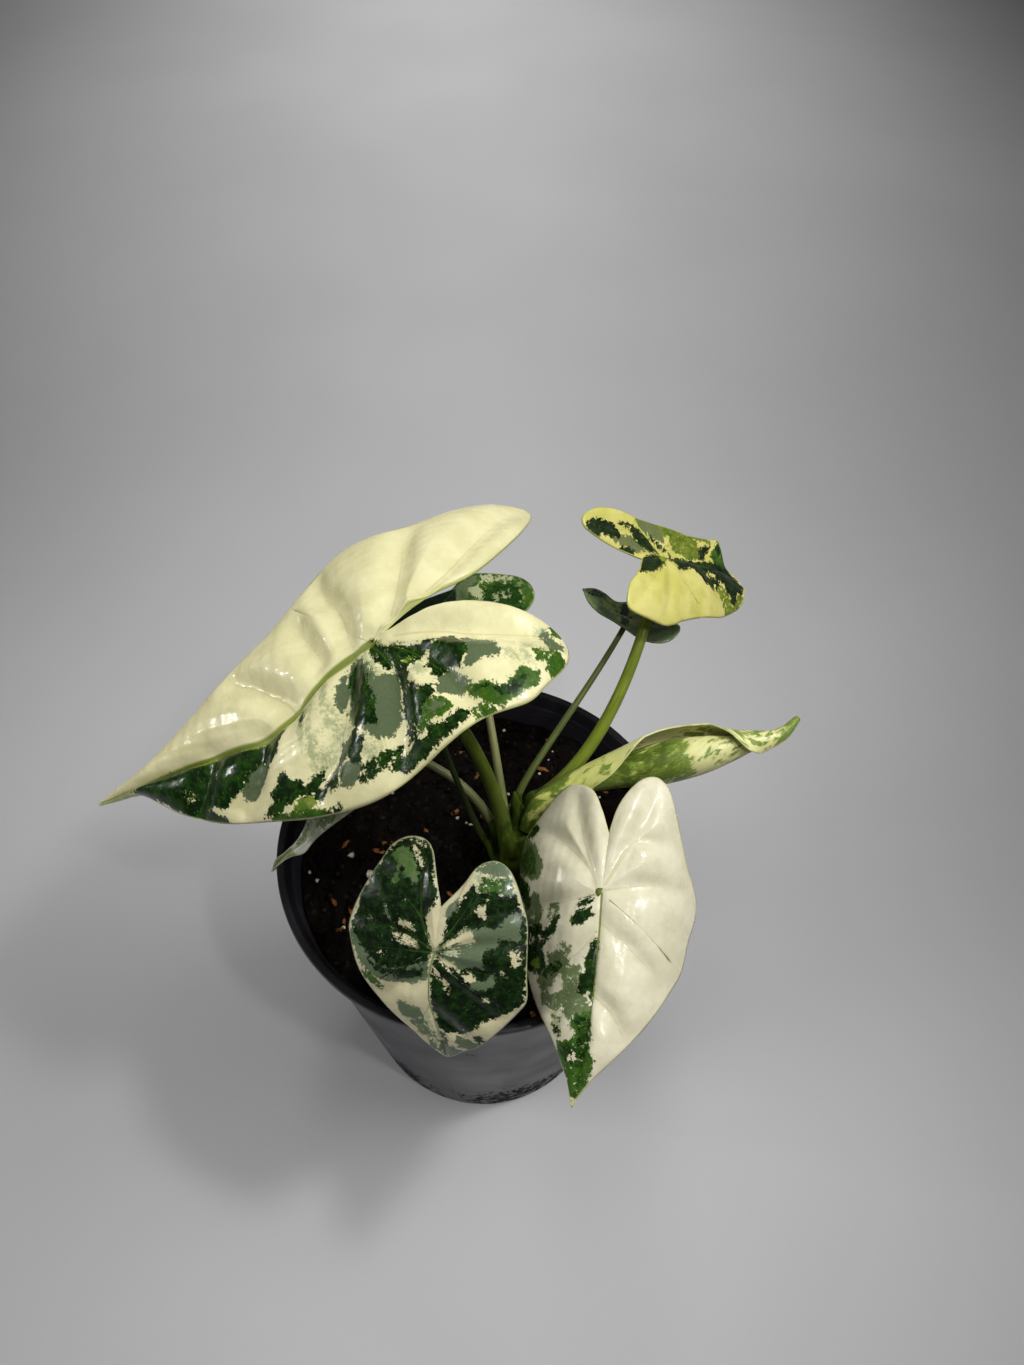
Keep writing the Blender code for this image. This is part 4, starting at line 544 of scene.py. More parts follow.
        ("cream", 0.5, [(8, -6.6), (11, -7.2), (14.2, -8.4), (13.2, -10.2), (10, -9.2), (8.2, -8.2)]),
        ("grey", 0.8, [(15.3, -7.3), (18.2, -8.9), (20.2, -13), (20.7, -15.6), (17.8, -14), (15.8, -10.5)]),
        ("grey", 0.3, [(23.8, -6.8), (26.6, -7.8), (27, -10.7), (24.4, -10.7)]),
        ("olive", 2.4, [(8.6, -21.6), (10.9, -20.3), (12.3, -22.5), (14.8, -21.2), (17.1, -19.2),
            (18.4, -21), (19.2, -23.2), (17.3, -25.5), (17.3, -27.8), (20.4, -30.2), (19.2, -33.4),
            (16.3, -35), (13.2, -34.2), (10.9, -31.1), (9.2, -27.3), (8, -24)]),
        ("dark", 0.8, [(13.4, -21.6), (15, -22), (15.6, -27), (14.2, -26)]),
        ("cream", 0.6, [(8, -26.3), (9.5, -28.3), (11, -31.3), (13.2, -34.2), (12, -34.8), (9.3, -31.5),
            (7.8, -28.5)]),
        ("cream", 0.2, [(8, -34.3), (13.7, -35.3), (13.7, -37), (9, -36.8)]),
        ("olive", 0.9, [(22.8, -24), (25.4, -23.2), (24.8, -26), (23, -27.2)]),
        ("olive", 0.4, [(27, -16), (29.2, -15), (28, -19)]),
        ("grey", 0.8, [(11.3, -14.8), (13.4, -15.2), (13, -17.8), (11.6, -17)]),
    ],
    "8": [
        ("grey", 0.25, [(-10.2, 46), (2.9, 46), (13, 20), (13, -26), (-13, -26), (-13, 20)]),
        ("dark", 0.6, [(0.5, 51), (1.7, 51), (2.3, 42), (1.1, 44)]),
        ("dark", 0.3, [(-5.1, 38), (-0.2, 40), (-2.8, 30), (-6.9, 32)]),
        ("olive", 2.5, [(-2.4, 55), (3.5, 55), (3, 70), (-3, 70)]),
    ],
    "9": [
        # Painted shade: leaf 9 lies under leaf 1, dark green and darkened all over as shade, with a lighter
        # edge
        ("dark", 3, [(-20, 46), (20, 46), (20, -24), (-20, -24)]),
        ("grey", 0.6, [(8, 36), (17, 8), (19, -6), (12, -4), (6, 20)]),
    ],
}

# Lateral veins that show on the larger blades, in the same flat millimetres, from the midrib outwards.
VEINS = {
    "1": [
        [(1.5, 36.5), (8, 40), (14, 45.5), (20, 52), (25, 60.5)],
        [(9, 20.5), (18, 22), (28, 25)],
        [(1.5, 7.5), (10, 6.9), (20, 5.8), (28, 6.6), (33, 8.6), (46, 9.4)],
        [(5, -10), (12, -14.5), (20, -18.5), (28, -22), (38, -25.4)],
        [(7, -24), (12, -33), (22, -44.5), (36, -58), (45, -67)],
        [(-1, 77), (-9, 83), (-16, 90)],
        [(-1.4, 52), (-8, 55), (-16, 60), (-21, 68)],
        [(-2, 9.5), (-8, 13), (-13, 17), (-18, 21), (-24, 27), (-27.4, 32), (-31, 38)],
        [(-1, 1), (-8, -1.4), (-17, -1.8), (-24, 0.6), (-30, 3.6), (-38, 8), (-44, 13)],
        [(-1, -1), (-10, -8), (-18, -13), (-28, -17), (-42, -20)],
        [(-4, -8), (-12, -22), (-18, -32), (-22, -45), (-24, -56)],
    ],
    "3": [
        [(0.2, 20), (6.7, 24), (15.2, 33)],
        [(0.5, 6), (9.4, 8), (20.6, 15)],
        [(0.7, 0), (6.9, -8), (20.2, -26)],
        [(0.7, 1), (11.1, -3), (24.3, -8)],
        [(-0.5, 24), (-7.1, 28), (-13.8, 35)],
        [(-0.5, 8), (-8.6, 11), (-14.1, 18)],
        [(-0.4, 3), (-11, -4), (-17.5, -7)],
        [(-0.4, -1), (-8.5, -12), (-17.8, -33)],
    ],
    "6": [
        [(0.6, 33), (-6.5, 38), (-12.6, 46)],
        [(0.2, 9.5), (-11.8, 18), (-18.9, 24), (-22.9, 32), (-24.9, 36)],
        [(-0.5, -1), (-16.9, -4.3), (-30, -4), (-41, -1)],
        [(-0.9, -3), (-8.6, -18), (-21.8, -20), (-30.9, -19)],
        [(-0.9, -3), (-8.6, -18), (-14.7, -33), (-16.7, -42)],
        [(0.6, 33), (8.4, 37), (14.3, 44)],
        [(1.3, 14), (8.3, 22), (18.2, 28), (28.1, 34)],
        [(0.5, 0), (18, 5), (26, 7), (36, 14)],
        [(2.1, -2), (6.2, -9), (20.2, -19), (31.1, -22), (41.1, -20)],
        [(2.1, -3), (9.4, -20), (13.3, -35)],
    ],
    "7": [
        [(0.4, 20), (5, 25), (10, 31)],
        [(0.6, 8), (12, 12.4), (22, 18)],
        [(0.4, 0.4), (12, 0.6), (26, 1), (31, 1)],
        [(0.4, -0.4), (12, -5.4), (32, -10)],
        [(0.4, -1), (8, -13), (22, -25)],
        [(1, -2), (5.6, -9.5), (7.8, -23), (10, -34)],
        [(-0.6, 22), (-5, 27), (-10, 36)],
        [(-0.6, 9), (-10, 14), (-19, 26)],
        [(-0.6, 1), (-12, 5.4), (-30, 10)],
        [(-0.6, 0), (-14, -3), (-31, -5)],
        [(-0.6, -0.6), (-13, -11), (-28, -17)],
        [(-0.6, -1), (-9, -14), (-17, -30)],
    ],
}

# Colours of each blade: the clear skin in two tones, the pigments, the veins and the margin.
BLADE_COLOURS = {
    "1": dict(skin="ddd7a8", skin_deep="d2cc9b", sage="a0a67a", grey="59634a", middle="3c5c16",
              olive="70802c", dark="0b1f05", dark_light="25470f", vein="b8a878", midrib="6c7c1c",
              margin="bcc272"),
    "2": dict(skin="b9bd92", skin_deep="a3aa78", sage="a3aa78", grey="6d7a55", middle="3f5f1c",
              olive="66782f", dark="1a3a0e", dark_light="2c5216", vein="5c7638", midrib="869850",
              margin="74894a"),
    # Leaf 3's olive also serves as painted shade on its far half and right side
    "3": dict(skin="d0c878", skin_deep="bfba60", sage="a9ac62", grey="6a7048", middle="41601a",
              olive="727c2a", dark="14200f", dark_light="26381c", vein="a09a54", midrib="33402a",
              margin="a9b054"),
    "4": dict(skin="7d8a60", skin_deep="6d7c4c", sage="6d7c4c", grey="586848", middle="3a4f24",
              olive="7a874c", dark="141f12", dark_light="22311c", vein="4f6038", midrib="657546",
              margin="74825a"),
    "6": dict(skin="d3ceb3", skin_deep="c7c2a5", sage="a4aa80", grey="64704c", middle="3a5a1c",
              olive="6e801e", dark="0e2208", dark_light="274615", vein="a8a06e", midrib="6c7834",
              margin="c2c08a"),
    # Leaf 7's cream skin is darker than the other blades' as painted shade; its grey also paints a sheen band
    "7": dict(skin="c4bd98", skin_deep="b6af8c", sage="8f977c", grey="5c6650", middle="3a5a24",
              olive="50623a", dark="081505", dark_light="1b360f", vein="56693f", midrib="6f8250",
              margin="8c9470"),
    "8": dict(skin="b4b6a8", skin_deep="a3a694", sage="a3a694", grey="8a907c", middle="5c6c44",
              olive="7c7a4a", dark="5c6c44", dark_light="6c7d52", vein="7c8068", midrib="9a9c7c",
              margin="92957c"),
    # Leaf 9's dark greens are darkened further as painted shade under leaf 1
    "9": dict(skin="3c5a2c", skin_deep="2c4a20", sage="3c5a2c", grey="2f4a26", middle="203c18",
              olive="3c5424", dark="0c1c0a", dark_light="142c10", vein="24401e", midrib="3c5a2c",
              margin="2f5022"),
}


def linear(colour):
    """An sRGB hex colour as linear red, green, blue and alpha."""
    channels = [int(colour[k:k + 2], 16) / 255 for k in (0, 2, 4)]
    return (*[c / 12.92 if c <= 0.04045 else ((c + 0.055) / 1.055) ** 2.4 for c in channels], 1.0)


def smooth_line(points, steps):
    """A smooth curve through the points, with so many steps between neighbours."""
    p = np.asarray(points, float)
    p = np.vstack([2 * p[0] - p[1], p, 2 * p[-1] - p[-2]])
    made = []
    for a, b, c, d in zip(p, p[1:], p[2:], p[3:]):
        for k in range(steps):
            t = k / steps
            made.append(0.5 * (2 * b + (c - a) * t + (2 * a - 5 * b + 4 * c - d) * t ** 2
                               + (3 * b - a - 3 * c + d) * t ** 3))
    made.append(p[-2])
    return np.array(made)


def evenly(line, count):
    """The line again, as so many points at even distances."""
    steps = np.linalg.norm(np.diff(line, axis=0), axis=1)
    along = np.concatenate([[0], np.cumsum(steps)])
    wanted = np.linspace(0, along[-1], count)
    return np.stack([np.interp(wanted, along, line[:, k]) for k in range(line.shape[1])], axis=1)


def bezier(a, b, c, d, t):
    """Points on a cubic curve at the shares t of its way."""
    t = np.asarray(t, float)[:, None]
    a, b, c, d = (np.asarray(v, float) for v in (a, b, c, d))
    return (1 - t) ** 3 * a + 3 * (1 - t) ** 2 * t * b + 3 * (1 - t) * t ** 2 * c + t ** 3 * d


def line_distance(points, line):
    """Distance from each point to a line of points."""
    nearest = np.full(len(points), 1e9)
    for a, b in zip(line, line[1:]):
        leg = b - a
        share = np.clip((points - a) @ leg / max(leg @ leg, 1e-9), 0, 1)
        nearest = np.minimum(nearest, np.linalg.norm(points - a - share[:, None] * leg, axis=1))
    return nearest


def depth_inside(points, outline):
    """How far each point lies inside a closed outline; outside it the depth is negative."""
    ring = np.array([*outline, outline[0]], float)
    inside = np.zeros(len(points), bool)
    for a, b in zip(ring, ring[1:]):
        if a[1] == b[1]:
            continue
        beside = a[0] + (points[:, 1] - a[1]) * (b[0] - a[0]) / (b[1] - a[1])
        inside ^= ((a[1] > points[:, 1]) != (b[1] > points[:, 1])) & (points[:, 0] < beside)
    nearest = line_distance(points, ring)
    return np.where(inside, nearest, -nearest)


def leaf_axes(leaf):
    """Unit vectors at the petiole's joint: towards the tip, to the right of it, and out of the face."""
    heading = math.radians(leaf["heading"])
    rise = math.radians(leaf["rise"])
    ahead = Vector((math.cos(heading) * math.cos(rise), math.sin(heading) * math.cos(rise), math.sin(rise)))
    right = Vector((math.sin(heading), -math.cos(heading), 0))
    roll = Matrix.Rotation(math.radians(leaf["roll"]), 3, ahead)
    right = roll @ right
    return np.array(ahead), np.array(right), np.array(right.cross(ahead))


def sway_at(leaf, across, along):
    """How far sideways the wandering midrib shifts a point; the shift fades towards the edges."""
    places, shifts = zip(*leaf["sway"])
    return np.interp(along, places, shifts) * np.exp(-np.abs(across) / SWAY_REACH)


def bend_leaf(leaf, across, along, lift):
    """Places flat leaf points in space: the midrib bends and sweeps, each half folds and curls."""
    ahead, right, out = leaf_axes(leaf)
    steps = (np.arange(BEND_STEPS) + 0.5) / BEND_STEPS
    front = along >= 0
    reach = np.where(front, along / leaf["length"], along / leaf["back"])
    droop = np.radians(np.where(front, leaf["droop"], leaf["back_droop"]))
    sweep = np.radians(np.where(front, leaf["sweep"], 0.0))
    pitch = -droop[:, None] * reach[:, None] * steps
    yaw = sweep[:, None] * reach[:, None] * steps
    step = (along / BEND_STEPS)[:, None]
    spine = np.stack([(np.cos(pitch) * np.cos(yaw) * step).sum(1),
                      (np.cos(pitch) * np.sin(yaw) * step).sum(1),
                      (np.sin(pitch) * step).sum(1)], axis=1)
    pitch = -droop * reach
    yaw = sweep * reach
    beside = np.stack([-np.sin(yaw), np.cos(yaw), 0 * yaw], axis=1)
    above = np.stack([-np.sin(pitch) * np.cos(yaw), -np.sin(pitch) * np.sin(yaw), np.cos(pitch)], axis=1)
    twist = np.radians(leaf["twist"]) * np.where(front, reach, 0.0)
    turned_beside = beside * np.cos(twist)[:, None] + above * np.sin(twist)[:, None]
    turned_above = above * np.cos(twist)[:, None] - beside * np.sin(twist)[:, None]
    is_right = across >= 0
    fold = np.radians(np.where(is_right, leaf["fold"][1], leaf["fold"][0]))
    curl = np.radians(np.where(is_right, leaf["curl"][1], leaf["curl"][0])) / (0.4 * leaf["length"])
    out_to = np.abs(across)[:, None] * steps
    angle = fold[:, None] * (1 - np.exp(-out_to / CREASE_RADIUS)) + curl[:, None] * out_to
    stride = (np.abs(across) / BEND_STEPS)[:, None]
    flat = (np.cos(angle) * stride).sum(1) * np.sign(across) + sway_at(leaf, across, along)
    height = (np.sin(angle) * stride).sum(1) + lift
    local = spine + turned_beside * flat[:, None] + turned_above * height[:, None]
    return np.array(leaf["attach"]) + local[:, :1] * ahead + local[:, 1:2] * right + local[:, 2:] * out


def leaf_edge(leaf, side, rungs):
    """Points on one half's edge, from the tip round the rear lobe to the notch, out from the midrib."""
    tip, notch = (side * sway_at(leaf, 0.0, along) for along in (leaf["length"], -leaf["notch"]))
    half = leaf["left"] if side < 0 and "left" in leaf else leaf["right"]
    outline = [(tip, leaf["length"]), *half, (notch, -leaf["notch"])]
    edge = evenly(smooth_line(outline, 8), rungs + 1)
    across = edge[:, 0].copy()
    for _ in range(8):
        across = edge[:, 0] - side * sway_at(leaf, across, edge[:, 1])
    edge[:, 0] = np.maximum(across, LEAST_HALF_WIDTH)
    edge[0] = (0, leaf["length"])
    edge[-1] = (0, -leaf["notch"])
    return edge


def petiole_line(leaf, t):
    """Points on the petiole's centre line, up to the blade's underside."""
    out = leaf_axes(leaf)[2]
    joint = bend_leaf(leaf, np.zeros(1), np.zeros(1), np.zeros(1))[0]
    return bezier(leaf["base"], *leaf["petiole"], joint - out * JOINT_DROP, t)


def petiole_radius(leaf, t):
    """The petiole's radius, which tapers towards the blade."""
    low, high = leaf["radii"]
    return low + (high - low) * np.asarray(t, float) ** 0.8


def mesh_object(name, points, faces, fields=None, tidy=True):
    """A smooth mesh object from points in millimetres, with named values at its points."""
    mesh = bpy.data.meshes.new(name)
    mesh.from_pydata((np.asarray(points, float) * MM).tolist(), [], faces)
    for field, values in (fields or {}).items():
        values = np.asarray(values, np.float32)
        kind, slot = ("FLOAT", "value") if values.ndim == 1 else ("FLOAT_VECTOR", "vector")
        mesh.attributes.new(field, kind, "POINT").data.foreach_set(slot, values.ravel())
    if tidy:
        work = bmesh.new()
        work.from_mesh(mesh)
        bmesh.ops.recalc_face_normals(work, faces=work.faces)
        work.to_mesh(mesh)
        work.free()
    mesh.shade_smooth()
    made = bpy.data.objects.new(name, mesh)
    bpy.context.scene.collection.objects.link(made)
    return made


def settle(piece, slot, *nodes, materials=()):
    """Gives a finished piece its materials and its place in the frame."""
    for material in materials:
        piece.data.materials.append(material)
    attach(piece, "root")
    if nodes:
        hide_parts(*nodes)
    return piece


def apply_modifiers(target):
    """Replaces an object's mesh by the mesh that its modifiers make."""
    graph = bpy.context.evaluated_depsgraph_get()
    mesh = bpy.data.meshes.new_from_object(target.evaluated_get(graph))
    target.modifiers.clear()
    target.data = mesh


def add(tree, kind, inputs=None, out=0, **settings):
    """Adds a node with its settings; an input takes a value, a hex colour or another node's output."""
    made = tree.nodes.new("ShaderNode" + kind)
    for name, value in settings.items():
        setattr(made, name, value)
    for socket, value in (inputs or {}).items():
        if isinstance(value, bpy.types.NodeSocket):
            tree.links.new(value, made.inputs[socket])
        else:
            made.inputs[socket].default_value = linear(value) if isinstance(value, str) else value
    return made.outputs[out]


# Settings shared by many nodes: a colour mix (0 share, 6 first, 7 second) and an eased step of a value
# (0 value, 1 and 2 from, 3 and 4 to).
COLOUR = dict(data_type="RGBA", out=2)
EASED = dict(interpolation_type="SMOOTHSTEP")


def new_material(name, **constants):
    """A material with only its shader; constants are set on the shader's own sockets."""
    material = bpy.data.materials.new(name)
    material.use_nodes = True
    shader = material.node_tree.nodes["Principled BSDF"]
    for socket, value in constants.items():
        shader.inputs[socket.replace("_", " ")].default_value = value
    return material, material.node_tree, shader


def join_shader(tree, shader, colour, roughness, height, height_mm):
    """Links colour, roughness and a bump of so many millimetres to the shader."""
    normal = add(tree, "Bump", {"Height": height, "Distance": height_mm * MM, "Strength": 1.0})
    tree.links.new(colour, shader.inputs["Base Color"])
    tree.links.new(roughness, shader.inputs["Roughness"])
    tree.links.new(normal, shader.inputs["Normal"])


def waxy_blade(key, under=False):
    """Living alocasia blade: a waxy skin that glints over pigment broken up cell by cell.

    Where the pigment is missing the tissue is cream; thin pigment under clear cells looks grey, though a few
    grey and olive outlines are painted sheen and painted shade. The underside is paler and duller, because
    air lies between its skin and the pigment.
    """
    ink = BLADE_COLOURS[key]
    name = f"blade {key} " + ("underside, satin skin" if under else "waxy skin")
    material, tree, shader = new_material(name, IOR=1.4, Coat_Weight=0.0 if under else 0.24,
                                          Coat_Roughness=0.08, Coat_IOR=1.4)
    place = add(tree, "Attribute", attribute_name="pattern", out=1)
    body = add(tree, "TexCoord", out=3)
    field = {part: add(tree, "Attribute", attribute_name=part, out=2)
             for part in (*PIGMENTS, "vein", "midrib", "edge")}
    # Pigment stops and starts in patches of a few cells, drawn here about 1 to 2 mm across, and in
    # streaks along the veins close to the petiole's joint
    blotch = add(tree, "TexNoise", {"Vector": place, "Scale": 1 / 1.6, "Detail": 4.0, "Roughness": 0.8})
    mottle = add(tree, "TexNoise", {"Vector": place, "Scale": 1 / 2.6, "Detail": 4.0, "Roughness": 0.68})
    drawn = add(tree, "Attribute", attribute_name="streak", out=1)
    streaks = add(tree, "TexNoise", {"Vector": drawn, "Scale": 1 / 1.6, "Detail": 3.0, "Roughness": 0.6})
    streaks = add(tree, "Math", {0: streaks, 1: 0.5}, operation="SUBTRACT")
    joint = add(tree, "Attribute", attribute_name="near_joint", out=2)
    streaks = add(tree, "Math", {0: streaks, 1: joint}, operation="MULTIPLY")
    cells = add(tree, "TexVoronoi", {"Vector": place, "Scale": 1 / 0.8}, out=1)
    cell = add(tree, "SeparateColor", {"Color": cells})
    broad = add(tree, "TexNoise", {"Vector": place, "Scale": 1 / 9.0, "Detail": 2.0})
    fine = add(tree, "TexNoise", {"Vector": place, "Scale": 1 / 0.55, "Detail": 2.0})
    spread = add(tree, "Math", {0: blotch, 1: 6.4, 2: -3.2}, operation="MULTIPLY_ADD")
    ragged = add(tree, "Math", {0: cell, 1: 0.4, 2: spread}, operation="MULTIPLY_ADD")
    ragged = add(tree, "Math", {0: streaks, 1: 5.0, 2: ragged}, operation="MULTIPLY_ADD")

    tone = add(tree, "MapRange", {0: broad, 1: 0.35, 2: 0.65}, **EASED)
    colour = add(tree, "Mix", {0: tone, 6: ink["skin"], 7: ink["skin_deep"]}, **COLOUR)
    nets = add(tree, "TexVoronoi", {"Vector": place, "Scale": 1 / 2.6}, feature="DISTANCE_TO_EDGE")
    nets = add(tree, "MapRange", {0: nets, 1: 0.0, 2: 0.05, 3: 0.10, 4: 0.0}, **EASED)
    colour = add(tree, "Mix", {0: nets, 6: colour, 7: ink["vein"]}, **COLOUR)
    covered = None
    # How soft each pigment's border is, what grains it, how much, and its second colour
    looks = (("sage", 1.6, mottle, 0.9, "skin"), ("grey", 0.1, fine, 0.35, "middle"),
             ("olive", 0.1, mottle, 0.8, "middle"), ("middle", 0.1, mottle, 0.8, "dark_light"),
             ("dark", 0.1, mottle, 0.7, "dark_light"))
    for pigment, soft, grain, amount, deep in looks:
        share = add(tree, "MapRange", {0: grain, 1: 0.42, 2: 0.62, 3: 0.0, 4: amount}, **EASED)
        tint = add(tree, "Mix", {0: share, 6: ink[pigment], 7: ink[deep]}, **COLOUR)
        depth = add(tree, "Math", {0: field[pigment], 1: ragged}, operation="ADD")
        shown = add(tree, "MapRange", {0: depth, 1: -0.6 * soft, 2: 1.2 * soft}, **EASED)
        colour = add(tree, "Mix", {0: shown, 6: colour, 7: tint}, **COLOUR)
        covered = add(tree, "Math", {0: shown, 1: covered or 0.0}, operation="MAXIMUM")
    flecks = add(tree, "TexNoise", {"Vector": place, "Scale": 1 / 0.8, "Detail": 1.5})
    flecks = add(tree, "MapRange", {0: flecks, 1: 0.66, 2: 0.72, 3: 0.0, 4: 0.5}, **EASED)
    flecks = add(tree, "Math", {0: flecks, 1: covered}, operation="MULTIPLY")
    colour = add(tree, "Mix", {0: flecks, 6: colour, 7: ink["olive"]}, **COLOUR)

    vein_tint = add(tree, "Mix", {0: covered, 6: ink["vein"], 7: ink["middle"]}, **COLOUR)
    for part, near, far, amount, tint in (("vein", 0.4, 1.8, 0.42, vein_tint),
                                          ("midrib", 0.6, 1.15, 0.9, ink["midrib"]),
                                          ("edge", 0.12, 0.5, 0.85, ink["margin"])):
        line = add(tree, "MapRange", {0: field[part], 1: near, 2: far, 3: amount, 4: 0.0}, **EASED)
        colour = add(tree, "Mix", {0: line, 6: colour, 7: tint}, **COLOUR)
    specks = add(tree, "TexVoronoi", {"Vector": place, "Scale": 1 / 8.0})
    specks = add(tree, "MapRange", {0: specks, 1: 0.018, 2: 0.03, 3: 0.55, 4: 0.0}, **EASED)
    colour = add(tree, "Mix", {0: specks, 6: colour, 7: "5a4a2a"}, **COLOUR)
    if under:
        colour = add(tree, "Mix", {0: 0.35, 6: colour, 7: "c3cba0"}, **COLOUR)
    gloss = add(tree, "TexNoise", {"Vector": body, "Scale": METRE / 7.0, "Detail": 2.0})
    dull, dullest = (0.42, 0.6) if under else (0.2, 0.34)
    rough = add(tree, "MapRange", {0: gloss, 1: 0.25, 2: 0.75, 3: dull, 4: dullest}, **EASED)
    pucker = add(tree, "TexNoise", {"Vector": body, "Scale": METRE / 2.4, "Detail": 3.0, "Roughness": 0.6})
    join_shader(tree, shader, colour, rough, pucker, 0.16)
    return material


def smooth_stalk(name, pale, deep, streak):
    """Smooth petiole skin: a satin, faintly ribbed green stalk, streaked lengthways where it is pale."""
    material, tree, shader = new_material(name, IOR=1.42, Specular_IOR_Level=0.3)
    place = add(tree, "Attribute", attribute_name="pattern", out=1)
    drawn_out = add(tree, "Mapping", {"Vector": place, "Scale": (0.06, 1, 1)})
    lines = add(tree, "TexNoise", {"Vector": drawn_out, "Scale": 1 / 0.8, "Detail": 2.0})
    blush = add(tree, "TexNoise", {"Vector": place, "Scale": 1 / 14.0, "Detail": 2.0})
    along = add(tree, "SeparateXYZ", {"Vector": place})
    tone = add(tree, "MapRange", {0: blush, 1: 0.3, 2: 0.7}, **EASED)
    colour = add(tree, "Mix", {0: tone, 6: pale, 7: deep}, **COLOUR)
    streaks = add(tree, "MapRange", {0: lines, 1: 0.5, 2: 0.72, 3: 0.0, 4: 0.5}, **EASED)
    colour = add(tree, "Mix", {0: streaks, 6: colour, 7: streak}, **COLOUR)
    foot = add(tree, "MapRange", {0: along, 1: 4.0, 2: 26.0, 3: 0.4, 4: 0.0}, **EASED)
    colour = add(tree, "Mix", {0: foot, 6: colour, 7: "4a5626"}, **COLOUR)
    rough = add(tree, "MapRange", {0: blush, 1: 0.3, 2: 0.7, 3: 0.34, 4: 0.46}, **EASED)
    join_shader(tree, shader, colour, rough, lines, 0.1)
    return material


def sheathing_crown():
    """Overlapping leaf bases: smooth olive skin with raised lengthwise nerves, brown where it meets soil."""
    material, tree, shader = new_material("crown, nerved sheath skin", IOR=1.42, Specular_IOR_Level=0.3)
    body = add(tree, "TexCoord", out=3)
    height = add(tree, "SeparateXYZ", {"Vector": body}, out=2)
    upright = add(tree, "Mapping", {"Vector": body, "Scale": (1, 1, 0.05)})
    nerves = add(tree, "TexNoise", {"Vector": upright, "Scale": METRE / 1.3, "Detail": 2.0})
    blush = add(tree, "TexNoise", {"Vector": body, "Scale": METRE / 9.0, "Detail": 2.0})
    tone = add(tree, "MapRange", {0: blush, 1: 0.3, 2: 0.7}, **EASED)
    colour = add(tree, "Mix", {0: tone, 6: "3f4e14", 7: "2b3b10"}, **COLOUR)
    streaks = add(tree, "MapRange", {0: nerves, 1: 0.5, 2: 0.7, 3: 0.0, 4: 0.45}, **EASED)
    colour = add(tree, "Mix", {0: streaks, 6: colour, 7: "5f6d26"}, **COLOUR)
    foot = add(tree, "MapRange", {0: height, 1: 0.142, 2: 0.166, 3: 0.9, 4: 0.0}, **EASED)
    colour = add(tree, "Mix", {0: foot, 6: colour, 7: "171509"}, **COLOUR)
    rough = add(tree, "MapRange", {0: blush, 1: 0.3, 2: 0.7, 3: 0.36, 4: 0.5}, **EASED)
    join_shader(tree, shader, colour, rough, nerves, 0.25)
    return material


def rolled_leaf_skin():
    """Unopened blade: thin, soft and satin, yellow-green outside with green marbling showing through."""
    material, tree, shader = new_material("furled leaf, soft young skin", IOR=1.42, Coat_Weight=0.08,
                                          Coat_Roughness=0.25)
    place = add(tree, "Attribute", attribute_name="pattern", out=1)
    green, pale, deep, edge = (add(tree, "Attribute", attribute_name=name, out=2)
                               for name in ("green", "pale", "deep", "edge"))
    blotch = add(tree, "TexNoise", {"Vector": place, "Scale": 1 / 3.0, "Detail": 3.0, "Roughness": 0.62})
    cells = add(tree, "TexVoronoi", {"Vector": place, "Scale": 1 / 1.6}, out=1)
    cell = add(tree, "SeparateColor", {"Color": cells})
    fine = add(tree, "TexNoise", {"Vector": place, "Scale": 1 / 0.7, "Detail": 2.0})
    spread = add(tree, "Math", {0: blotch, 1: 6.0, 2: -3.6}, operation="MULTIPLY_ADD")
    ragged = add(tree, "Math", {0: cell, 1: 1.2, 2: spread}, operation="MULTIPLY_ADD")
    tone = add(tree, "MapRange", {0: blotch, 1: 0.3, 2: 0.7}, **EASED)
    colour = add(tree, "Mix", {0: tone, 6: "c2c46c", 7: "a9b254"}, **COLOUR)
    # Pale: cream tissue, brightened on the flap as a painted highlight
    bleached_and_painted_light = add(tree, "MapRange", {0: pale, 1: 0.0, 2: 1.0}, **EASED)
    colour = add(tree, "Mix", {0: bleached_and_painted_light, 6: colour, 7: "dcd99a"}, **COLOUR)
    depth = add(tree, "Math", {0: green, 1: ragged}, operation="ADD")
    shown = add(tree, "MapRange", {0: depth, 1: -0.3, 2: 0.5, 3: 0.0, 4: 0.9}, **EASED)
    grain = add(tree, "MapRange", {0: fine, 1: 0.35, 2: 0.65}, **EASED)
    marbling = add(tree, "Mix", {0: grain, 6: "55701f", 7: "748a34"}, **COLOUR)
    colour = add(tree, "Mix", {0: shown, 6: colour, 7: marbling}, **COLOUR)
    # Deep tone: a darker olive at the base, and painted shade inside the roll under the flap
    shade = add(tree, "Math", {0: deep, 1: add(tree, "MapRange", {0: blotch, 1: 0.35, 2: 0.6}, **EASED)},
                operation="MULTIPLY")
    colour = add(tree, "Mix", {0: shade, 6: colour, 7: "34450f"}, **COLOUR)
    line = add(tree, "MapRange", {0: edge, 1: 0.2, 2: 0.7, 3: 0.6, 4: 0.0}, **EASED)
    colour = add(tree, "Mix", {0: line, 6: colour, 7: "cfd187"}, **COLOUR)
    rough = add(tree, "MapRange", {0: blotch, 1: 0.3, 2: 0.7, 3: 0.33, 4: 0.46}, **EASED)
    join_shader(tree, shader, colour, rough, blotch, 0.2)
    return material


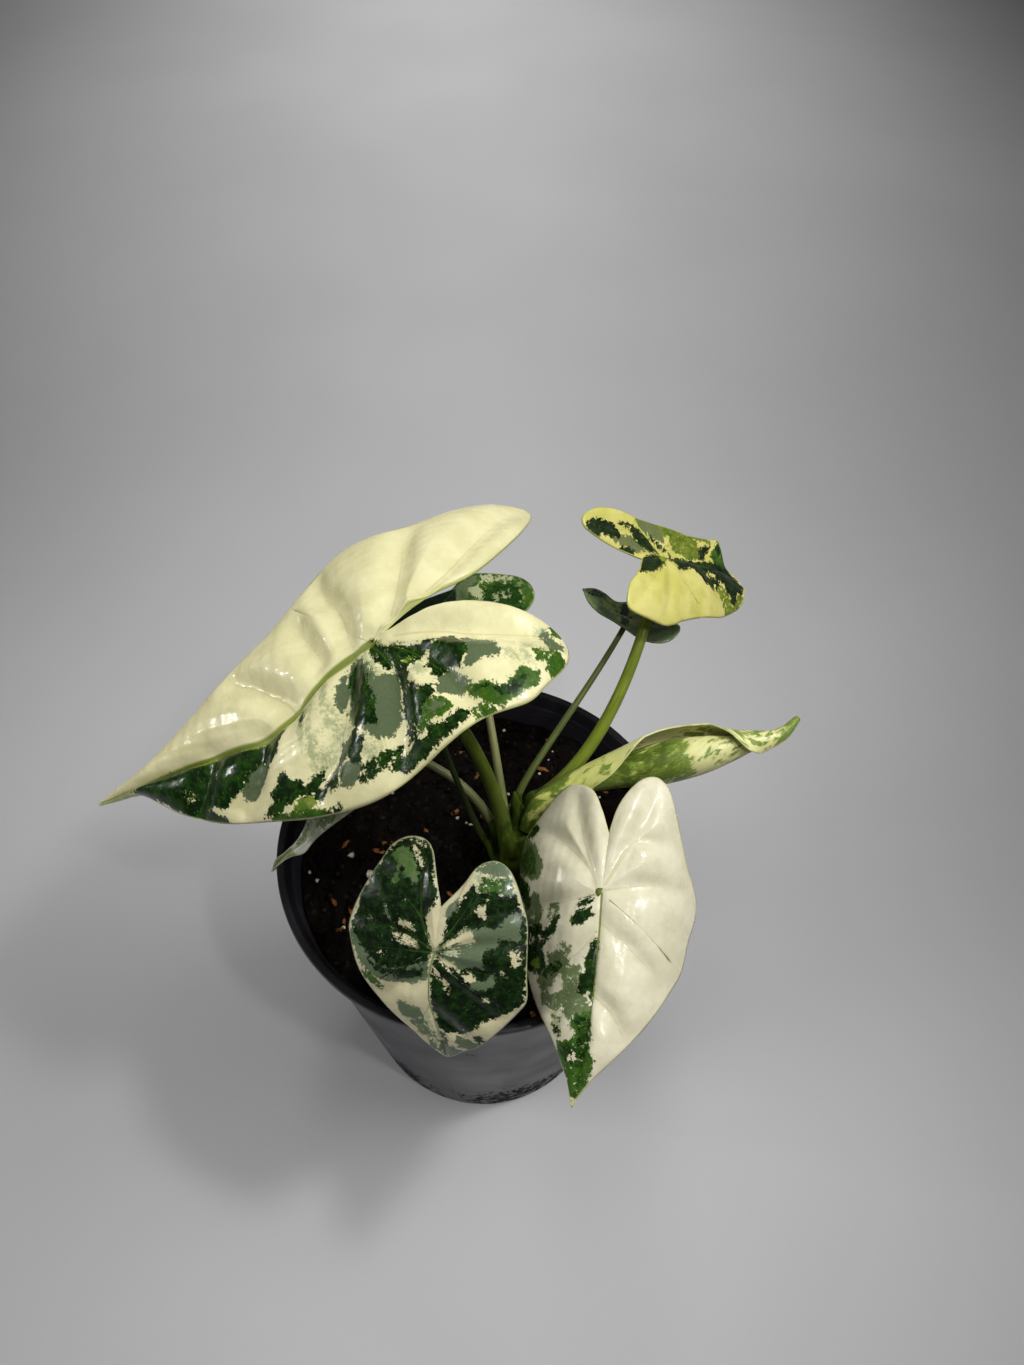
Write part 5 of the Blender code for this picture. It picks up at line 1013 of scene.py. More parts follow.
def moulded_pot_plastic():
    """Thermoformed black polystyrene: satin with a faint purple cast, scuffed, splashed with soil below."""
    material, tree, shader = new_material("pot, thermoformed black polystyrene", IOR=1.55)
    body = add(tree, "TexCoord", out=3)
    height = add(tree, "SeparateXYZ", {"Vector": body}, out=2)
    soft = add(tree, "TexNoise", {"Vector": body, "Scale": METRE / 26.0, "Detail": 3.0})
    orange_peel = add(tree, "TexNoise", {"Vector": body, "Scale": METRE / 1.4, "Detail": 2.0})
    level = add(tree, "Mapping", {"Vector": body, "Scale": (0.4, 0.4, 2.2)})
    scuffs = add(tree, "TexNoise", {"Vector": level, "Scale": METRE / 3.2, "Detail": 4.0, "Roughness": 0.7})
    tone = add(tree, "MapRange", {0: soft, 1: 0.3, 2: 0.7}, **EASED)
    colour = add(tree, "Mix", {0: tone, 6: "242126", 7: "2d2a30"}, **COLOUR)
    worn = add(tree, "MapRange", {0: scuffs, 1: 0.6, 2: 0.8, 3: 0.0, 4: 0.35}, **EASED)
    colour = add(tree, "Mix", {0: worn, 6: colour, 7: "5a5660"}, **COLOUR)
    low = add(tree, "MapRange", {0: height, 1: 0.012, 2: 0.05, 3: 0.17, 4: -0.1}, **EASED)
    drops = add(tree, "TexNoise", {"Vector": body, "Scale": METRE / 3.0, "Detail": 4.0, "Roughness": 0.7})
    reach = add(tree, "Math", {0: soft, 1: 0.6, 2: drops}, operation="MULTIPLY_ADD")
    reach = add(tree, "Math", {0: reach, 1: low}, operation="ADD")
    splash = add(tree, "MapRange", {0: reach, 1: 0.96, 2: 0.99}, **EASED)
    colour = add(tree, "Mix", {0: splash, 6: colour, 7: "1a100a"}, **COLOUR)
    lip = add(tree, "MapRange", {0: height, 1: 0.1495, 2: 0.1502, 3: 0.0, 4: 0.8}, **EASED)
    colour = add(tree, "Mix", {0: lip, 6: colour, 7: "0c0b0c"}, **COLOUR)
    dulled = add(tree, "Math", {0: splash, 1: 0.6, 2: soft}, operation="MULTIPLY_ADD")
    rough = add(tree, "MapRange", {0: dulled, 1: 0.2, 2: 1.2, 3: 0.32, 4: 0.62}, **EASED)
    dry = add(tree, "MapRange", {0: splash, 3: 0.45, 4: 0.02})
    tree.links.new(dry, shader.inputs["Specular IOR Level"])
    relief = add(tree, "Math", {0: splash, 1: 3.0, 2: orange_peel}, operation="MULTIPLY_ADD")
    join_shader(tree, shader, colour, rough, relief, 0.05)
    return material


def loose_mix(name, dark, brown, fleck):
    """Peat and coir mix: damp, nearly black crumbs with lighter fibres; rough, with no gloss."""
    material, tree, shader = new_material(name, IOR=1.4, Specular_IOR_Level=0.2)
    body = add(tree, "TexCoord", out=3)
    crumbs = add(tree, "TexNoise", {"Vector": body, "Scale": METRE / 2.2, "Detail": 5.0, "Roughness": 0.7})
    grains = add(tree, "TexVoronoi", {"Vector": body, "Scale": METRE / 1.5}, out=1)
    grain = add(tree, "SeparateColor", {"Color": grains})
    tone = add(tree, "MapRange", {0: crumbs, 1: 0.4, 2: 0.65}, **EASED)
    colour = add(tree, "Mix", {0: tone, 6: dark, 7: brown}, **COLOUR)
    light = add(tree, "MapRange", {0: grain, 1: 0.93, 2: 0.97, 3: 0.0, 4: 0.8}, **EASED)
    colour = add(tree, "Mix", {0: light, 6: colour, 7: fleck}, **COLOUR)
    rough = add(tree, "MapRange", {0: crumbs, 1: 0.3, 2: 0.7, 3: 0.7, 4: 0.95}, **EASED)
    join_shader(tree, shader, colour, rough, crumbs, 0.9)
    return material


def broken_grain(name, light, deep, size_mm, roughness):
    """Mineral or bark grain: broken faces in two tones, pitted, with a dry surface."""
    material, tree, shader = new_material(name, IOR=1.5)
    body = add(tree, "TexCoord", out=3)
    pits = add(tree, "TexNoise", {"Vector": body, "Scale": METRE / size_mm, "Detail": 4.0, "Roughness": 0.65})
    tone = add(tree, "MapRange", {0: pits, 1: 0.35, 2: 0.65}, **EASED)
    colour = add(tree, "Mix", {0: tone, 6: deep, 7: light}, **COLOUR)
    rough = add(tree, "MapRange", {0: pits, 1: 0.3, 2: 0.7, 3: roughness, 4: roughness + 0.15}, **EASED)
    join_shader(tree, shader, colour, rough, pits, 0.3)
    return material


def half_grid(leaf, side, steps, columns):
    """Flat grid of one half: rungs run from the midrib to the edge along the lateral veins."""
    rungs = leaf["ribs"] * steps
    edge = leaf_edge(leaf, side, rungs)
    both = (leaf_edge(leaf, 1, rungs) + leaf_edge(leaf, -1, rungs)) / 2
    root = np.clip(both[:, 1] - VEIN_LEAN * both[:, 0], 0, None)
    root[0] = leaf["length"]
    share = np.linspace(0, 1, columns + 1)
    across = edge[:, :1] * share
    bow = VEIN_BOW * np.abs(edge[:, :1]) * np.sin(math.pi * share) * (root[:, None] > 0)
    along = root[:, None] + (edge[:, 1:] - root[:, None]) * share - bow
    out_to = np.hypot(across, along - root[:, None])
    phase = np.broadcast_to(np.arange(rungs + 1)[:, None] / steps, across.shape)
    fade = np.minimum(1.0, np.minimum(phase, leaf["ribs"] - phase))
    return across * side, along, np.broadcast_to(share, across.shape), out_to, phase, fade


def blade_fields(key, leaf, across, along):
    """Pigments, veins, midrib and edge at flat points, in millimetres or in their own widths."""
    spots = np.stack([across, along], axis=1)
    fields = {pigment: np.full(len(spots), -3.0) for pigment in PIGMENTS}
    for mark, solid, outline in MARKINGS[key]:
        inside = depth_inside(spots, outline)
        above = PIGMENTS if mark == "cream" else PIGMENTS[PIGMENTS.index(mark) + 1:]
        overlap = 0 if mark in ("cream", "dark") else PIGMENT_OVERLAP
        for pigment in above:
            fields[pigment] = np.minimum(fields[pigment], np.maximum(overlap - inside, -solid))
        if mark != "cream":
            fields[mark] = np.maximum(fields[mark], np.minimum(inside + overlap, solid))
    halves = [leaf_edge(leaf, side, EDGE_RUNGS) * (side, 1) for side in (1, -1)]
    veins = VEINS.get(key)
    if veins is None:
        ends = [edge[round(k * EDGE_RUNGS / leaf["ribs"])] for edge in halves for k in range(1, leaf["ribs"])]
        veins = [[(0, max(0.0, end[1] - VEIN_LEAN * abs(end[0]))), end] for end in ends]
    vein = np.full(len(spots), 99.0)
    for line in veins:
        vein = np.minimum(vein, line_distance(spots, smooth_line(line, 6)))
    taper = np.clip(1 - np.abs(across) / (0.35 * leaf["length"]), 0.25, 1.0)
    midrib = np.hypot(across, np.minimum(along, 0) * 1.6)
    width = np.interp(along, [0, 0.4 * leaf["length"], leaf["length"]], [1.0, 0.75, 0.3])
    fields.update(vein_mm=vein, vein=vein / (VEIN_LINE * taper), midrib_mm=midrib,
                  midrib=midrib / (width * leaf["midrib"]),
                  edge=np.min([line_distance(spots, edge) for edge in halves], axis=0))
    return fields


def stitch_halves(leaf, steps, columns):
    """Flat points of both halves as columns of numbers, the faces between them, and the rim's numbers."""
    rungs = leaf["ribs"] * steps
    parts = []
    faces = []
    numbers = {}
    count = 0
    for side in (1, -1):
        across, along, share, out_to, phase, fade = half_grid(leaf, side, steps, columns)
        number = np.zeros(across.shape, int)
        fresh = np.ones(across.shape, bool)
        if side < 0:
            number[:, 0] = numbers[1][:, 0]
            number[-1] = numbers[1][-1]
            fresh[:, 0] = fresh[-1] = False
        first_root = int(np.argmax(along[:, 0] <= 0))
        fresh[0, 1:] = fresh[first_root + 1:, 0] = False
        number[fresh] = count + np.arange(fresh.sum())
        number[0, 1:] = number[0, 0]
        number[first_root + 1:, 0] = number[first_root, 0]
        count += int(fresh.sum())
        numbers[side] = number
        parts.append(np.stack([v[fresh] for v in (across, along, share, out_to, phase, fade,
                                                  np.full(across.shape, side))], axis=1))
        for i in range(rungs):
            for j in range(columns):
                corners = [number[i, j], number[i, j + 1], number[i + 1, j + 1], number[i + 1, j]]
                face = [c for k, c in enumerate(corners) if c not in corners[:k]]
                if len(face) > 2:
                    faces.append([int(c) for c in face[::-side]])
    rim = [int(n) for n in (*numbers[1][:, -1], *numbers[-1][-2:0:-1, -1])]
    return np.vstack(parts).T, faces, rim


def make_blade(key, leaf):
    """One thin waved blade: quilted between its veins above, ribbed along them below."""
    girth = np.linalg.norm(np.diff(leaf_edge(leaf, 1, 90), axis=0), axis=1).sum()
    spacing = girth / leaf["ribs"]
    steps = max(6, math.ceil(spacing / MESH_STEP))
    columns = math.ceil(max(leaf_edge(leaf, side, 90)[:, 0].max() for side in (1, -1)) / MESH_STEP)
    numbers, faces, rim = stitch_halves(leaf, steps, columns)
    across, along, share, out_to, phase, fade, side = numbers
    seed = 17.0 * int(key)
    seeds = np.full(len(across), seed)
    fields = blade_fields(key, leaf, across, along)
    fields["pattern"] = np.stack([across, along, seeds], axis=1)
    fields["streak"] = np.stack([0.25 * out_to * side, phase * spacing, seeds], axis=1)
    fields["near_joint"] = np.clip(1.2 - np.hypot(across, along) / (12 + 0.16 * leaf["length"]), 0, 1)

    body = np.sin(math.pi * np.clip(share, 0, 1)) ** 0.6
    valley = 1 - np.exp(-(fields["vein_mm"] / (VALLEY_WIDTH + VALLEY_GROWTH * leaf["quilt"])) ** 2)
    ripple = leaf["wave"] * np.sin(2 * math.pi * phase * 0.45 + side) * share ** 2
    pucker = PUCKER_HEIGHT * (np.sin(0.9 * across + 0.35 * along + seed)
                              * np.sin(0.55 * along - 0.7 * across))
    groove = GROOVE_DEPTH * np.exp(-(fields["midrib_mm"] / GROOVE_WIDTH) ** 2)
    lift = (leaf["quilt"] * valley * body + ripple) * fade + pucker * body - groove
    middle = bend_leaf(leaf, across, along, lift)
    sheet = bpy.data.meshes.new("sheet")
    sheet.from_pydata(middle.tolist(), [], faces)
    out = np.array([n.vector for n in sheet.vertex_normals])
    bpy.data.meshes.remove(sheet)

    stalk = leaf["radii"][1]
    taper = np.clip(1 - np.abs(across) / (0.4 * leaf["length"]), 0.2, 1.0)
    rib = (MIDRIB_DEPTH * stalk * np.exp(-(fields["midrib_mm"] / stalk) ** 2)
           + RIB_DEPTH * taper * np.exp(-(fields["vein_mm"] / RIB_WIDTH) ** 2))
    rib *= np.clip(fields["edge"] / RIB_FADE, 0, 1)
    top = middle + out * BLADE_THICKNESS / 2
    bottom = middle - out * (BLADE_THICKNESS / 2 + rib)[:, None]
    total = len(middle)
    edges = [(a, b, b + total, a + total) for a, b in zip(rim, rim[1:] + rim[:1])]
    everything = faces + [[c + total for c in face[::-1]] for face in faces] + edges
    doubled = {name: np.concatenate([values, values]) for name, values in fields.items()
               if not name.endswith("_mm")}
    blade = mesh_object(f"leaf_{key}", np.vstack([top, bottom]), everything, doubled)
    slots = [0] * len(faces) + [1] * len(faces) + [0] * len(edges)
    blade.data.polygons.foreach_set("material_index", slots)
    return blade


def tube_mesh(line, radii, sides, seed=0.0):
    """Points, faces and pattern places of a round stalk along a line of points, closed at both ends."""
    line = np.asarray(line, float)
    tangents = np.gradient(line, axis=0)
    tangents /= np.linalg.norm(tangents, axis=1)[:, None]
    walked = np.concatenate([[0], np.cumsum(np.linalg.norm(np.diff(line, axis=0), axis=1))])
    side = np.cross(tangents[0], (0.3, 1.0, 0.1))
    points = []
    places = []
    for centre, tangent, radius, along in zip(line, tangents, radii, walked):
        side = side - tangent * np.dot(side, tangent)
        side /= np.linalg.norm(side)
        other = np.cross(tangent, side)
        for k in range(sides):
            angle = 2 * math.pi * k / sides
            points.append(centre + radius * (math.cos(angle) * side + math.sin(angle) * other))
            places.append((along, 2.2 * math.cos(angle), 2.2 * math.sin(angle) + seed))
    faces = []
    for i in range(len(line) - 1):
        for k in range(sides):
            after = (k + 1) % sides
            low = i * sides
            faces.append((low + k, low + after, low + sides + after, low + sides + k))
    faces.append(tuple(range(sides))[::-1])
    faces.append(tuple(range(len(points) - sides, len(points))))
    return points, faces, places


def make_petiole(key, leaf):
    """A tapering stalk from inside its sheath to the blade's underside, a little swollen at the blade."""
    t = np.linspace(0.5 * SHEATH_END, 1, STALK_STEPS)
    swell = 1 + 0.16 * np.exp(-((1 - t) / 0.05) ** 2)
    radii = petiole_radius(leaf, t) * swell
    points, faces, places = tube_mesh(petiole_line(leaf, t), radii, STALK_SIDES, int(key) * 9.0)
    return mesh_object(f"stalk_{key}", points, faces, {"pattern": places})


def make_crown():
    """Sheathing leaf bases round one short stem, with a free sheath tip standing up from them."""
    low = np.array([*CROWN_BASE, CROWN_ROOT_Z])
    top = np.array([*CROWN_TOP, CROWN_NECK_Z])
    shares, radii = zip(*CROWN_RINGS)
    tubes = [tube_mesh([low + (top - low) * share for share in shares], radii, 32)]
    for leaf in LEAVES.values():
        above = petiole_line(leaf, np.linspace(0, SHEATH_END, 3))
        root = low + (top - low) * (0.45 if leaf["base"][2] < 175 else 0.62)
        middle = (root + above[0]) / 2 + 0.25 * (np.array(leaf["base"]) - [*CROWN_TOP, leaf["base"][2]])
        grow = leaf["radii"][0]
        sizes = [(grow * swell, 0) for swell in (1.25, 1.25, 1.08, 1.04, 1)]
        line = smooth_line(np.vstack([root, middle, above]), 5)
        tubes.append(tube_mesh(line, smooth_line(sizes, 5)[:, 0], 16))
    spike = smooth_line(SHEATH_TIP, 4)
    tubes.append(tube_mesh(spike, np.interp(np.linspace(0, 1, len(spike)), *zip(*SHEATH_TIP_RADII)), 12))
    points, faces = [], []
    for more_points, more_faces, _ in tubes:
        faces += [[c + len(points) for c in face] for face in more_faces]
        points += more_points
    crown = mesh_object("sheaths", points, faces)
    skin = crown.modifiers.new("one skin", "REMESH")
    skin.mode = "VOXEL"
    skin.voxel_size = CROWN_VOXEL * MM
    relax = crown.modifiers.new("relax", "SMOOTH")
    relax.factor = 0.5
    relax.iterations = 6
    apply_modifiers(crown)
    crown.data.shade_smooth()
    return crown


def rolled_paint(share, turn):
    """How green, pale and deep the furled leaf is, by share of its length and turns from its free edge; pale
    is partly a painted highlight on the flap, deep partly painted shade inside the roll.
    """
    flap = np.interp(turn, [0.3, 0.42], [1, 0])
    made = {}
    for name, (outer_turn, on_flap) in ROLL_PAINT.items():
        value = np.interp(share, *zip(*outer_turn))
        # Painted shade: the deep tone grows on the inner turns, which lie in shade inside the roll
        if name == "deep" and share > 0.34:
            value *= np.interp(turn, [0.6, 0.86], [0.4, 1])
        made[name] = value + (np.interp(share, *zip(*on_flap)) - value) * flap
    return made


def make_furled_leaf():
    """A sheet rolled round itself, wide in the middle and drawn out to a point."""
    along, around = ROLL_STEPS, ROLL_ROUND
    line = evenly(smooth_line(ROLL_LINE, 16), along)
    sizes = smooth_line([(r, 0) for r in ROLL_RADIUS], 16)[:, 0]
    radius = np.interp(np.linspace(0, 1, along), np.linspace(0, 1, len(sizes)), sizes)
    tangents = np.gradient(line, axis=0)
    tangents /= np.linalg.norm(tangents, axis=1)[:, None]
    points, places, edge = [], [], []
    paint = {name: [] for name in ROLL_PAINT}
    total = np.linalg.norm(np.diff(line, axis=0), axis=1).sum()
    for i in range(along):
        share = i / (along - 1)
        side = np.cross(tangents[i], (0, 0, 1))
        side /= np.linalg.norm(side)
        up = np.cross(side, tangents[i])
        start = np.interp(share, *zip(*FREE_EDGE))
        lift = np.interp(share, *zip(*FLAP_LIFT))
        turns = np.interp(radius[i], [4.0, 6.0], ROLL_TURNS)
        for k in range(around + 1):
            turn = turns * k / around
            angle = math.radians(start - 360 * turn)
            drop = INNER_DROP * radius[i] * np.interp(turn, [0.5, 1.0, 1.5], [0, 1, 1.5])
            reach = radius[i] + lift * math.exp(-turn / 0.1) - drop
            points.append(line[i] + reach * (math.cos(angle) * up + math.sin(angle) * side))
            walked = 2 * math.pi * turn * radius[i]
            places.append((0.5 * total * share, walked, 5.0))
            edge.append(min(walked, 2 * math.pi * turns * radius[i] - walked))
            for name, value in rolled_paint(share, turn).items():
                paint[name].append(value)
    faces = []
    row = around + 1
    for i in range(along - 1):
        for k in range(around):
            a = i * row + k
            faces.append((a, a + row, a + row + 1, a + 1))
    leaf = mesh_object("rolled_leaf", points, faces, {"pattern": places, "edge": edge, **paint})
    sheet = leaf.modifiers.new("thickness", "SOLIDIFY")
    sheet.thickness = ROLL_SHEET * MM
    sheet.offset = 0
    apply_modifiers(leaf)
    leaf.data.shade_smooth()
    return leaf


def lathe_mesh(profile, sides):
    """Points and faces of a closed profile of (radius, height) turned round the z axis."""
    points, rings, faces = [], [], []
    for radius, height in profile:
        if radius == 0:
            rings.append([len(points)])
            points.append((0, 0, height))
            continue
        rings.append(list(range(len(points), len(points) + sides)))
        for k in range(sides):
            angle = 2 * math.pi * k / sides
            points.append((radius * math.cos(angle), radius * math.sin(angle), height))
    for low, high in zip(rings, rings[1:] + rings[:1]):
        if len(low) == 1 and len(high) == 1:
            continue
        for k in range(sides):
            after = (k + 1) % sides
            if len(low) == 1:
                faces.append((low[0], high[after], high[k]))
            elif len(high) == 1:
                faces.append((low[k], low[after], high[0]))
            else:
                faces.append((low[k], low[after], high[after], high[k]))
    return points, faces


def inner_wall(z):
    """The pot's inner radius at a height."""
    narrow, wide = FOOT_RADIUS - WALL, RIM_RADIUS - WALL_INSET - WALL
    return narrow + (wide - narrow) * (z - WALL_FOOT_Z) / (WALL_TOP_Z - WALL_FOOT_Z)


def make_pot():
    """Tapering thin wall with a narrow turned lip; drain holes open into notches round its foot."""
    rim_wall = RIM_RADIUS - WALL_INSET
    lip_base = POT_HEIGHT - LIP_DEPTH
    rings = []
    for step in range(GRIP_RINGS):
        z = WALL_TOP_Z - step * GRIP_STEP
        rings.append((inner_wall(z) - (GRIP_DEPTH if step % 3 == 1 else 0.0), z))
    profile = [
        (0, 0), (FOOT_RADIUS - 0.9, 0), (FOOT_RADIUS - 0.35, 0.25), (FOOT_RADIUS, 1.0),
        ((FOOT_RADIUS + rim_wall) / 2, lip_base / 2), (rim_wall, lip_base),
        (RIM_RADIUS - 0.6, lip_base + 1.1), (RIM_RADIUS - 0.15, lip_base + 1.6), (RIM_RADIUS, lip_base + 2.2),
        (RIM_RADIUS, POT_HEIGHT - 0.8), (RIM_RADIUS - 0.25, POT_HEIGHT - 0.25),
        (RIM_RADIUS - 0.8, POT_HEIGHT), (RIM_RADIUS - 2.4, POT_HEIGHT),
        (RIM_RADIUS - 2.9, POT_HEIGHT - 0.25), (RIM_RADIUS - 3.2, POT_HEIGHT - 0.8), *rings,
        (FOOT_RADIUS - WALL, WALL_FOOT_Z), (FOOT_RADIUS - 2 * WALL, FLOOR_TOP), (0, FLOOR_TOP),
    ]
    pot = mesh_object("nursery_pot", *lathe_mesh(profile, POT_SIDES))
    cutters = bpy.data.collections.new("pot cutters")
    for k in range(FEET):
        turn = Matrix.Rotation(math.radians(FIRST_FOOT + (k + 0.5) * 360 / FEET), 4, "Z")
        for shape, size, place in (
                ("cube", (NOTCH_REACH, NOTCH_WIDTH, 2 * NOTCH_HEIGHT), (FOOT_RADIUS, 0, 0)),
                ("cone", (1, 1, 1), (FOOT_RADIUS - DRAIN_INSET, 0, DRAIN_DEPTH / 4))):
            work = bmesh.new()
            if shape == "cube":
                bmesh.ops.create_cube(work, size=MM)
            else:
                bmesh.ops.create_cone(work, cap_ends=True, segments=24, radius1=DRAIN_RADIUS * MM,
                                      radius2=DRAIN_RADIUS * MM, depth=DRAIN_DEPTH * MM)
            work.transform(turn @ Matrix.Translation(Vector(place) * MM) @ Matrix.Diagonal((*size, 1)))
            mesh = bpy.data.meshes.new("cutter")
            work.to_mesh(mesh)
            work.free()
            cutters.objects.link(bpy.data.objects.new(f"pot {shape} cutter {k}", mesh))
    cut = pot.modifiers.new("drain holes", "BOOLEAN")
    cut.operation = "DIFFERENCE"
    cut.operand_type = "COLLECTION"
    cut.collection = cutters
    cut.solver = "EXACT"
    apply_modifiers(pot)
    for cutter in list(cutters.objects):
        bpy.data.objects.remove(cutter, do_unlink=True)
    bpy.data.collections.remove(cutters)
    pot.data.set_sharp_from_angle(angle=math.radians(SHARP_ANGLE))
    return pot


def soil_height(x, y):
    """The uneven top of the soil, a little lower at the wall."""
    swell = 0.9 * np.sin(0.11 * x + 1.3) * np.cos(0.093 * y - 0.4)
    lumps = 0.7 * np.sin(0.31 * x - 0.22 * y) + 0.5 * np.cos(0.27 * x + 0.41 * y + 2.0)
    return SOIL_TOP + swell + lumps - SOIL_DISH * (np.hypot(x, y) / 73) ** 4


def make_soil(rng):
    """Packed soil whose top is pushed up and down in crumbs a few millimetres across."""
    sides, rings = SOIL_SIDES, SOIL_RINGS
    top_radius = inner_wall(SOIL_TOP - 4) - GAP
    waves = [(rng.uniform(0.7, 2.4), rng.uniform(0, 2 * math.pi), rng.uniform(0, 6))
             for _ in range(CRUMB_WAVES)]
    angle = np.arange(sides) * 2 * math.pi / sides
    points = [(0, 0, SOIL_TOP)]
    for k in range(1, rings + 1):
        radius = top_radius * k / rings
        x, y = radius * np.cos(angle), radius * np.sin(angle)
        rough = sum(0.5 / f * np.sin(f * (x * math.cos(a) + y * math.sin(a)) + b) for f, a, b in waves)
        points += list(zip(x, y, soil_height(x, y) + CRUMB_HEIGHT * rough * min(1.0, (rings - k) / 2)))
    for radius, z in ((top_radius, SOIL_TOP - 5), (FOOT_RADIUS - 2.4, FLOOR_TOP + 2.6),
                      (FOOT_RADIUS - 4.5, FLOOR_TOP + GAP)):
        points += list(zip(radius * np.cos(angle), radius * np.sin(angle), np.full(sides, z)))
    points.append((0, 0, FLOOR_TOP + GAP))
    faces = [(0, 1 + k, 1 + (k + 1) % sides) for k in range(sides)]
    for ring in range(rings + 2):
        low = 1 + ring * sides
        for k in range(sides):
            after = (k + 1) % sides
            faces.append((low + k, low + sides + k, low + sides + after, low + after))
    last = 1 + (rings + 2) * sides
    faces += [(last + k, len(points) - 1, last + (k + 1) % sides) for k in range(sides)]
    return mesh_object("soil", points, faces)


def scatter(name, spots, rng, flat=0.8, stretch=1.0):
    """Angular grains, each a knocked-about ball at (x, y, size), joined in one mesh."""
    ball = bmesh.new()
    bmesh.ops.create_icosphere(ball, subdivisions=1, radius=1.0)
    corners = np.array([v.co for v in ball.verts])
    ring = [[v.index for v in f.verts] for f in ball.faces]
    ball.free()
    points, faces = [], []
    for x, y, size in spots:
        knocked = corners * np.array([[rng.uniform(0.72, 1.15)] for _ in corners])
        knocked = knocked * (stretch, 1 / math.sqrt(stretch), flat)
        turn = Matrix.Rotation(rng.uniform(0, 6.3), 3, "Z") @ Matrix.Rotation(rng.uniform(-0.5, 0.5), 3, "X")
        grain = knocked @ np.array(turn).T * size
        grain += (x, y, float(soil_height(np.float64(x), np.float64(y))) + 0.25 * size)
        faces += [[c + len(points) for c in face] for face in ring]
        points += grain.tolist()
    return mesh_object(name, points, faces, tidy=False)


def strew(rng, count, low, high):
    """Random places for so many grains round the crown, each with its radius."""
    found = []
    while len(found) < count:
        angle, radius = rng.uniform(0, 2 * math.pi), GRAIN_REACH * math.sqrt(rng.random())
        x, y = radius * math.cos(angle), radius * math.sin(angle)
        if math.hypot(x - CROWN_BASE[0], y - CROWN_BASE[1]) > CROWN_CLEAR:
            found.append((x, y, rng.uniform(low, high)))
    return found


def dress_soil(rng):
    """Crumbs of mix all over, with perlite and bark chips lying among them."""
    crumbs = scatter("soil_crumbs", strew(rng, *CRUMBS), rng)
    perlite = PERLITE_SPOTS + strew(rng, *PERLITE)
    bark = BARK_SPOTS + strew(rng, *BARK)
    white = scatter("perlite", perlite, rng, flat=0.85)
    chips = scatter("bark_chips", bark, rng, flat=0.4, stretch=1.7)
    return crumbs, white, chips


def soft_light(name, place, aim, width, length, beam, power, glints):
    """A soft box at a place, facing its aim; one that doesn't glint lights the leaves without a sheen."""
    lamp = bpy.data.lights.new(name, "AREA")
    lamp.shape = "RECTANGLE"
    lamp.size = width
    lamp.size_y = length
    lamp.spread = math.radians(beam)
    lamp.energy = power
    holder = bpy.data.objects.new(name, lamp)
    holder.location = place
    holder.rotation_euler = (Vector(aim) - Vector(place)).to_track_quat("-Z", "Y").to_euler()
    holder.visible_glossy = glints
    bpy.context.scene.collection.objects.link(holder)


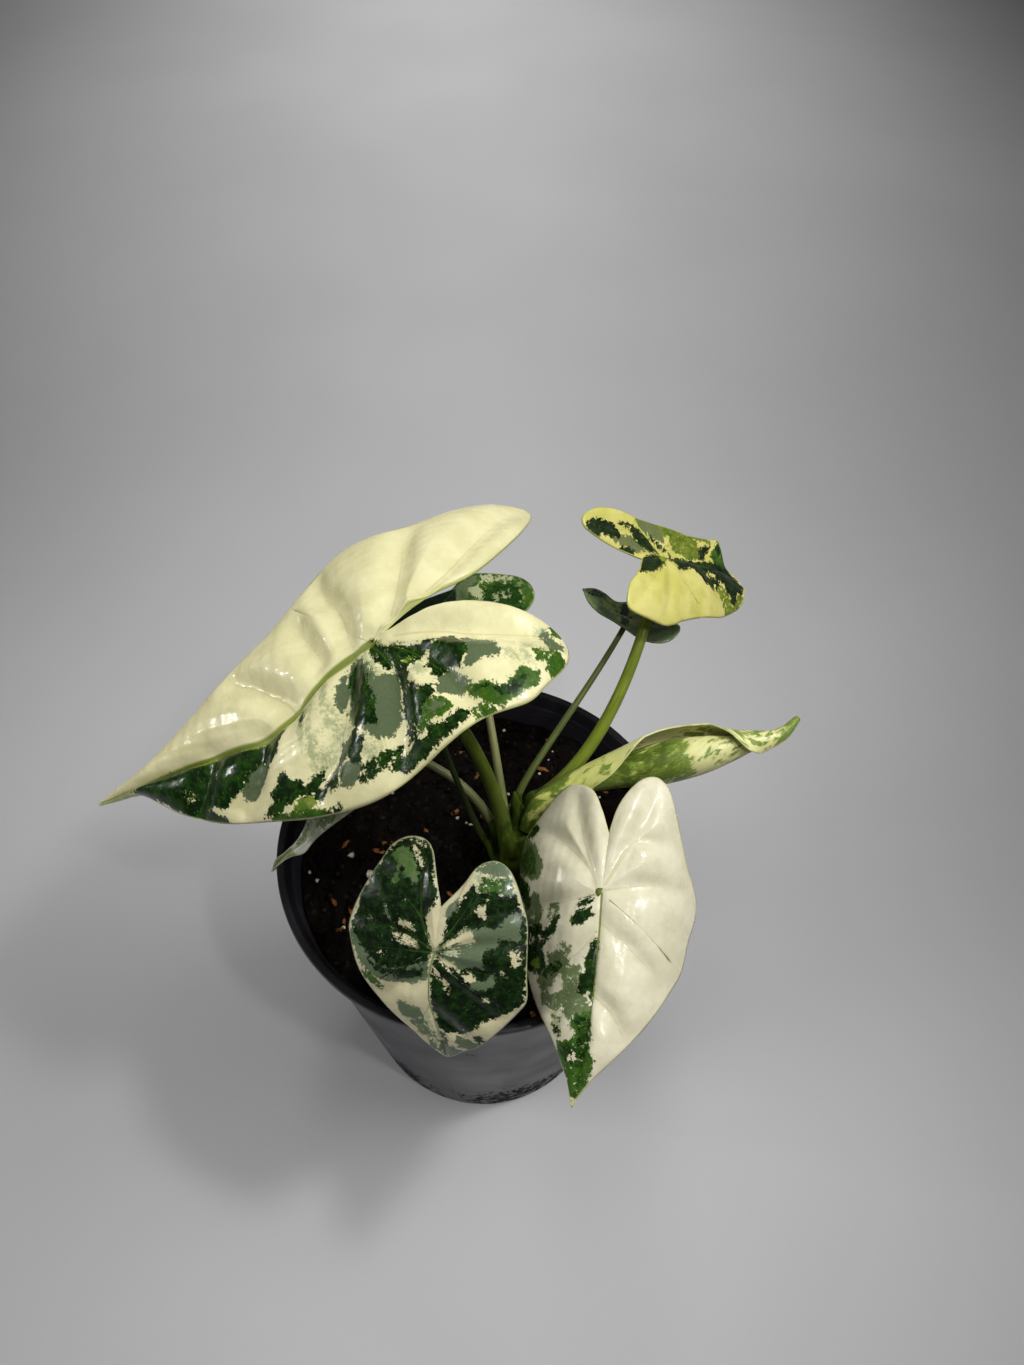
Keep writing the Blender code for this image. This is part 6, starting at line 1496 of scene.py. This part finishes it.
def set_stage():
    """Pale seamless paper, soft boxes and the photograph's camera."""
    corners = [(x * PAPER_HALF, y * PAPER_HALF, 0) for x, y in ((-1, -1), (1, -1), (1, 1), (-1, 1))]
    paper = mesh_object("paper_floor", corners, [(0, 1, 2, 3)], tidy=False)
    material, tree, shader = new_material("seamless paper, matt", IOR=1.45)
    body = add(tree, "TexCoord", out=3)
    fibres = add(tree, "TexNoise", {"Vector": body, "Scale": METRE / 3.0, "Detail": 3.0})
    broad = add(tree, "TexNoise", {"Vector": body, "Scale": METRE / 300.0, "Detail": 2.0})
    tone = add(tree, "MapRange", {0: broad, 1: 0.3, 2: 0.7}, **EASED)
    colour = add(tree, "Mix", {0: tone, 6: "aeadae", 7: "b3b2b3"}, **COLOUR)
    rough = add(tree, "MapRange", {0: fibres, 1: 0.3, 2: 0.7, 3: 0.62, 4: 0.72}, **EASED)
    join_shader(tree, shader, colour, rough, fibres, 0.02)
    paper.data.materials.append(material)
    world = bpy.data.worlds.new("studio")
    world.use_nodes = True
    world.node_tree.nodes["Background"].inputs["Color"].default_value = linear("e6e8ee")
    world.node_tree.nodes["Background"].inputs["Strength"].default_value = WORLD_STRENGTH
    bpy.context.scene.world = world
    bpy.context.scene.view_settings.view_transform = "Standard"
    for light in SOFT_BOXES:
        soft_light(*light)
    lens = bpy.data.cameras.new("camera")
    lens.sensor_width = SENSOR
    lens.lens = FOCAL_PIXELS * lens.sensor_width / PHOTO_SIZE[1]
    camera = bpy.data.objects.new("camera", lens)
    camera.location = CAMERA_PLACE
    camera.rotation_euler = (math.radians(90 - CAMERA_DOWN), 0, math.radians(-CAMERA_RIGHT))
    bpy.context.scene.collection.objects.link(camera)
    bpy.context.scene.camera = camera


BLADE_SLOTS = {"1": "cream_blade", "6": "cream_blade", "2": "green_blade", "7": "green_blade",
               "9": "green_blade", "3": "yellow_blade", "4": "grey_blade", "8": "pale_blade"}
STALK_COLOURS = {"1": ("465214", "36420f", "5c6a20"), "2": ("77784e", "666840", "8e8f62"),
                 "3": ("76852a", "5f6e20", "8e9c3c"), "4": ("5a6432", "4a5428", "707b44"),
                 "6": ("646c2e", "545d28", "7c8442"), "7": ("545e2a", "444e22", "6c743c"),
                 # Petiole 9's near-black green is painted shade under leaf 1
                 "8": ("747652", "646644", "8c8d64"), "9": ("1e270f", "18210b", "2a3315")}


def dress_plant():
    """Every piece of the plant and its pot, finished and put in the frame."""
    for key, leaf in LEAVES.items():
        settle(make_blade(key, leaf), BLADE_SLOTS[key], f"blade_{key}",
               materials=(waxy_blade(key), waxy_blade(key, under=True)))
        settle(make_petiole(key, leaf), "petiole", f"petiole_{key}",
               materials=(smooth_stalk(f"petiole {key}, smooth skin", *STALK_COLOURS[key]),))
    settle(make_crown(), "sheath", "crown", materials=(sheathing_crown(),))
    settle(make_furled_leaf(), "young_blade", "furled_leaf", materials=(rolled_leaf_skin(),))
    settle(make_pot(), "pot_plastic", "pot", materials=(moulded_pot_plastic(),))
    rng = random.Random(5)
    settle(make_soil(rng), "potting_mix", "potting_soil",
           materials=(loose_mix("potting mix, damp peat", "050302", "0e0906", "221810"),))
    crumbs, perlite, chips = dress_soil(rng)
    for loose, material in (
            (crumbs, loose_mix("potting mix, loose crumbs", "060403", "140d08", "2e2216")),
            (perlite, broken_grain("perlite, expanded glass", "cfc8b4", "8d846c", 0.8, 0.8)),
            (chips, broken_grain("bark, broken chips", "8a5a24", "4a2c12", 1.2, 0.75))):
        settle(loose, "potting_mix", materials=(material,))


set_stage()
dress_plant()
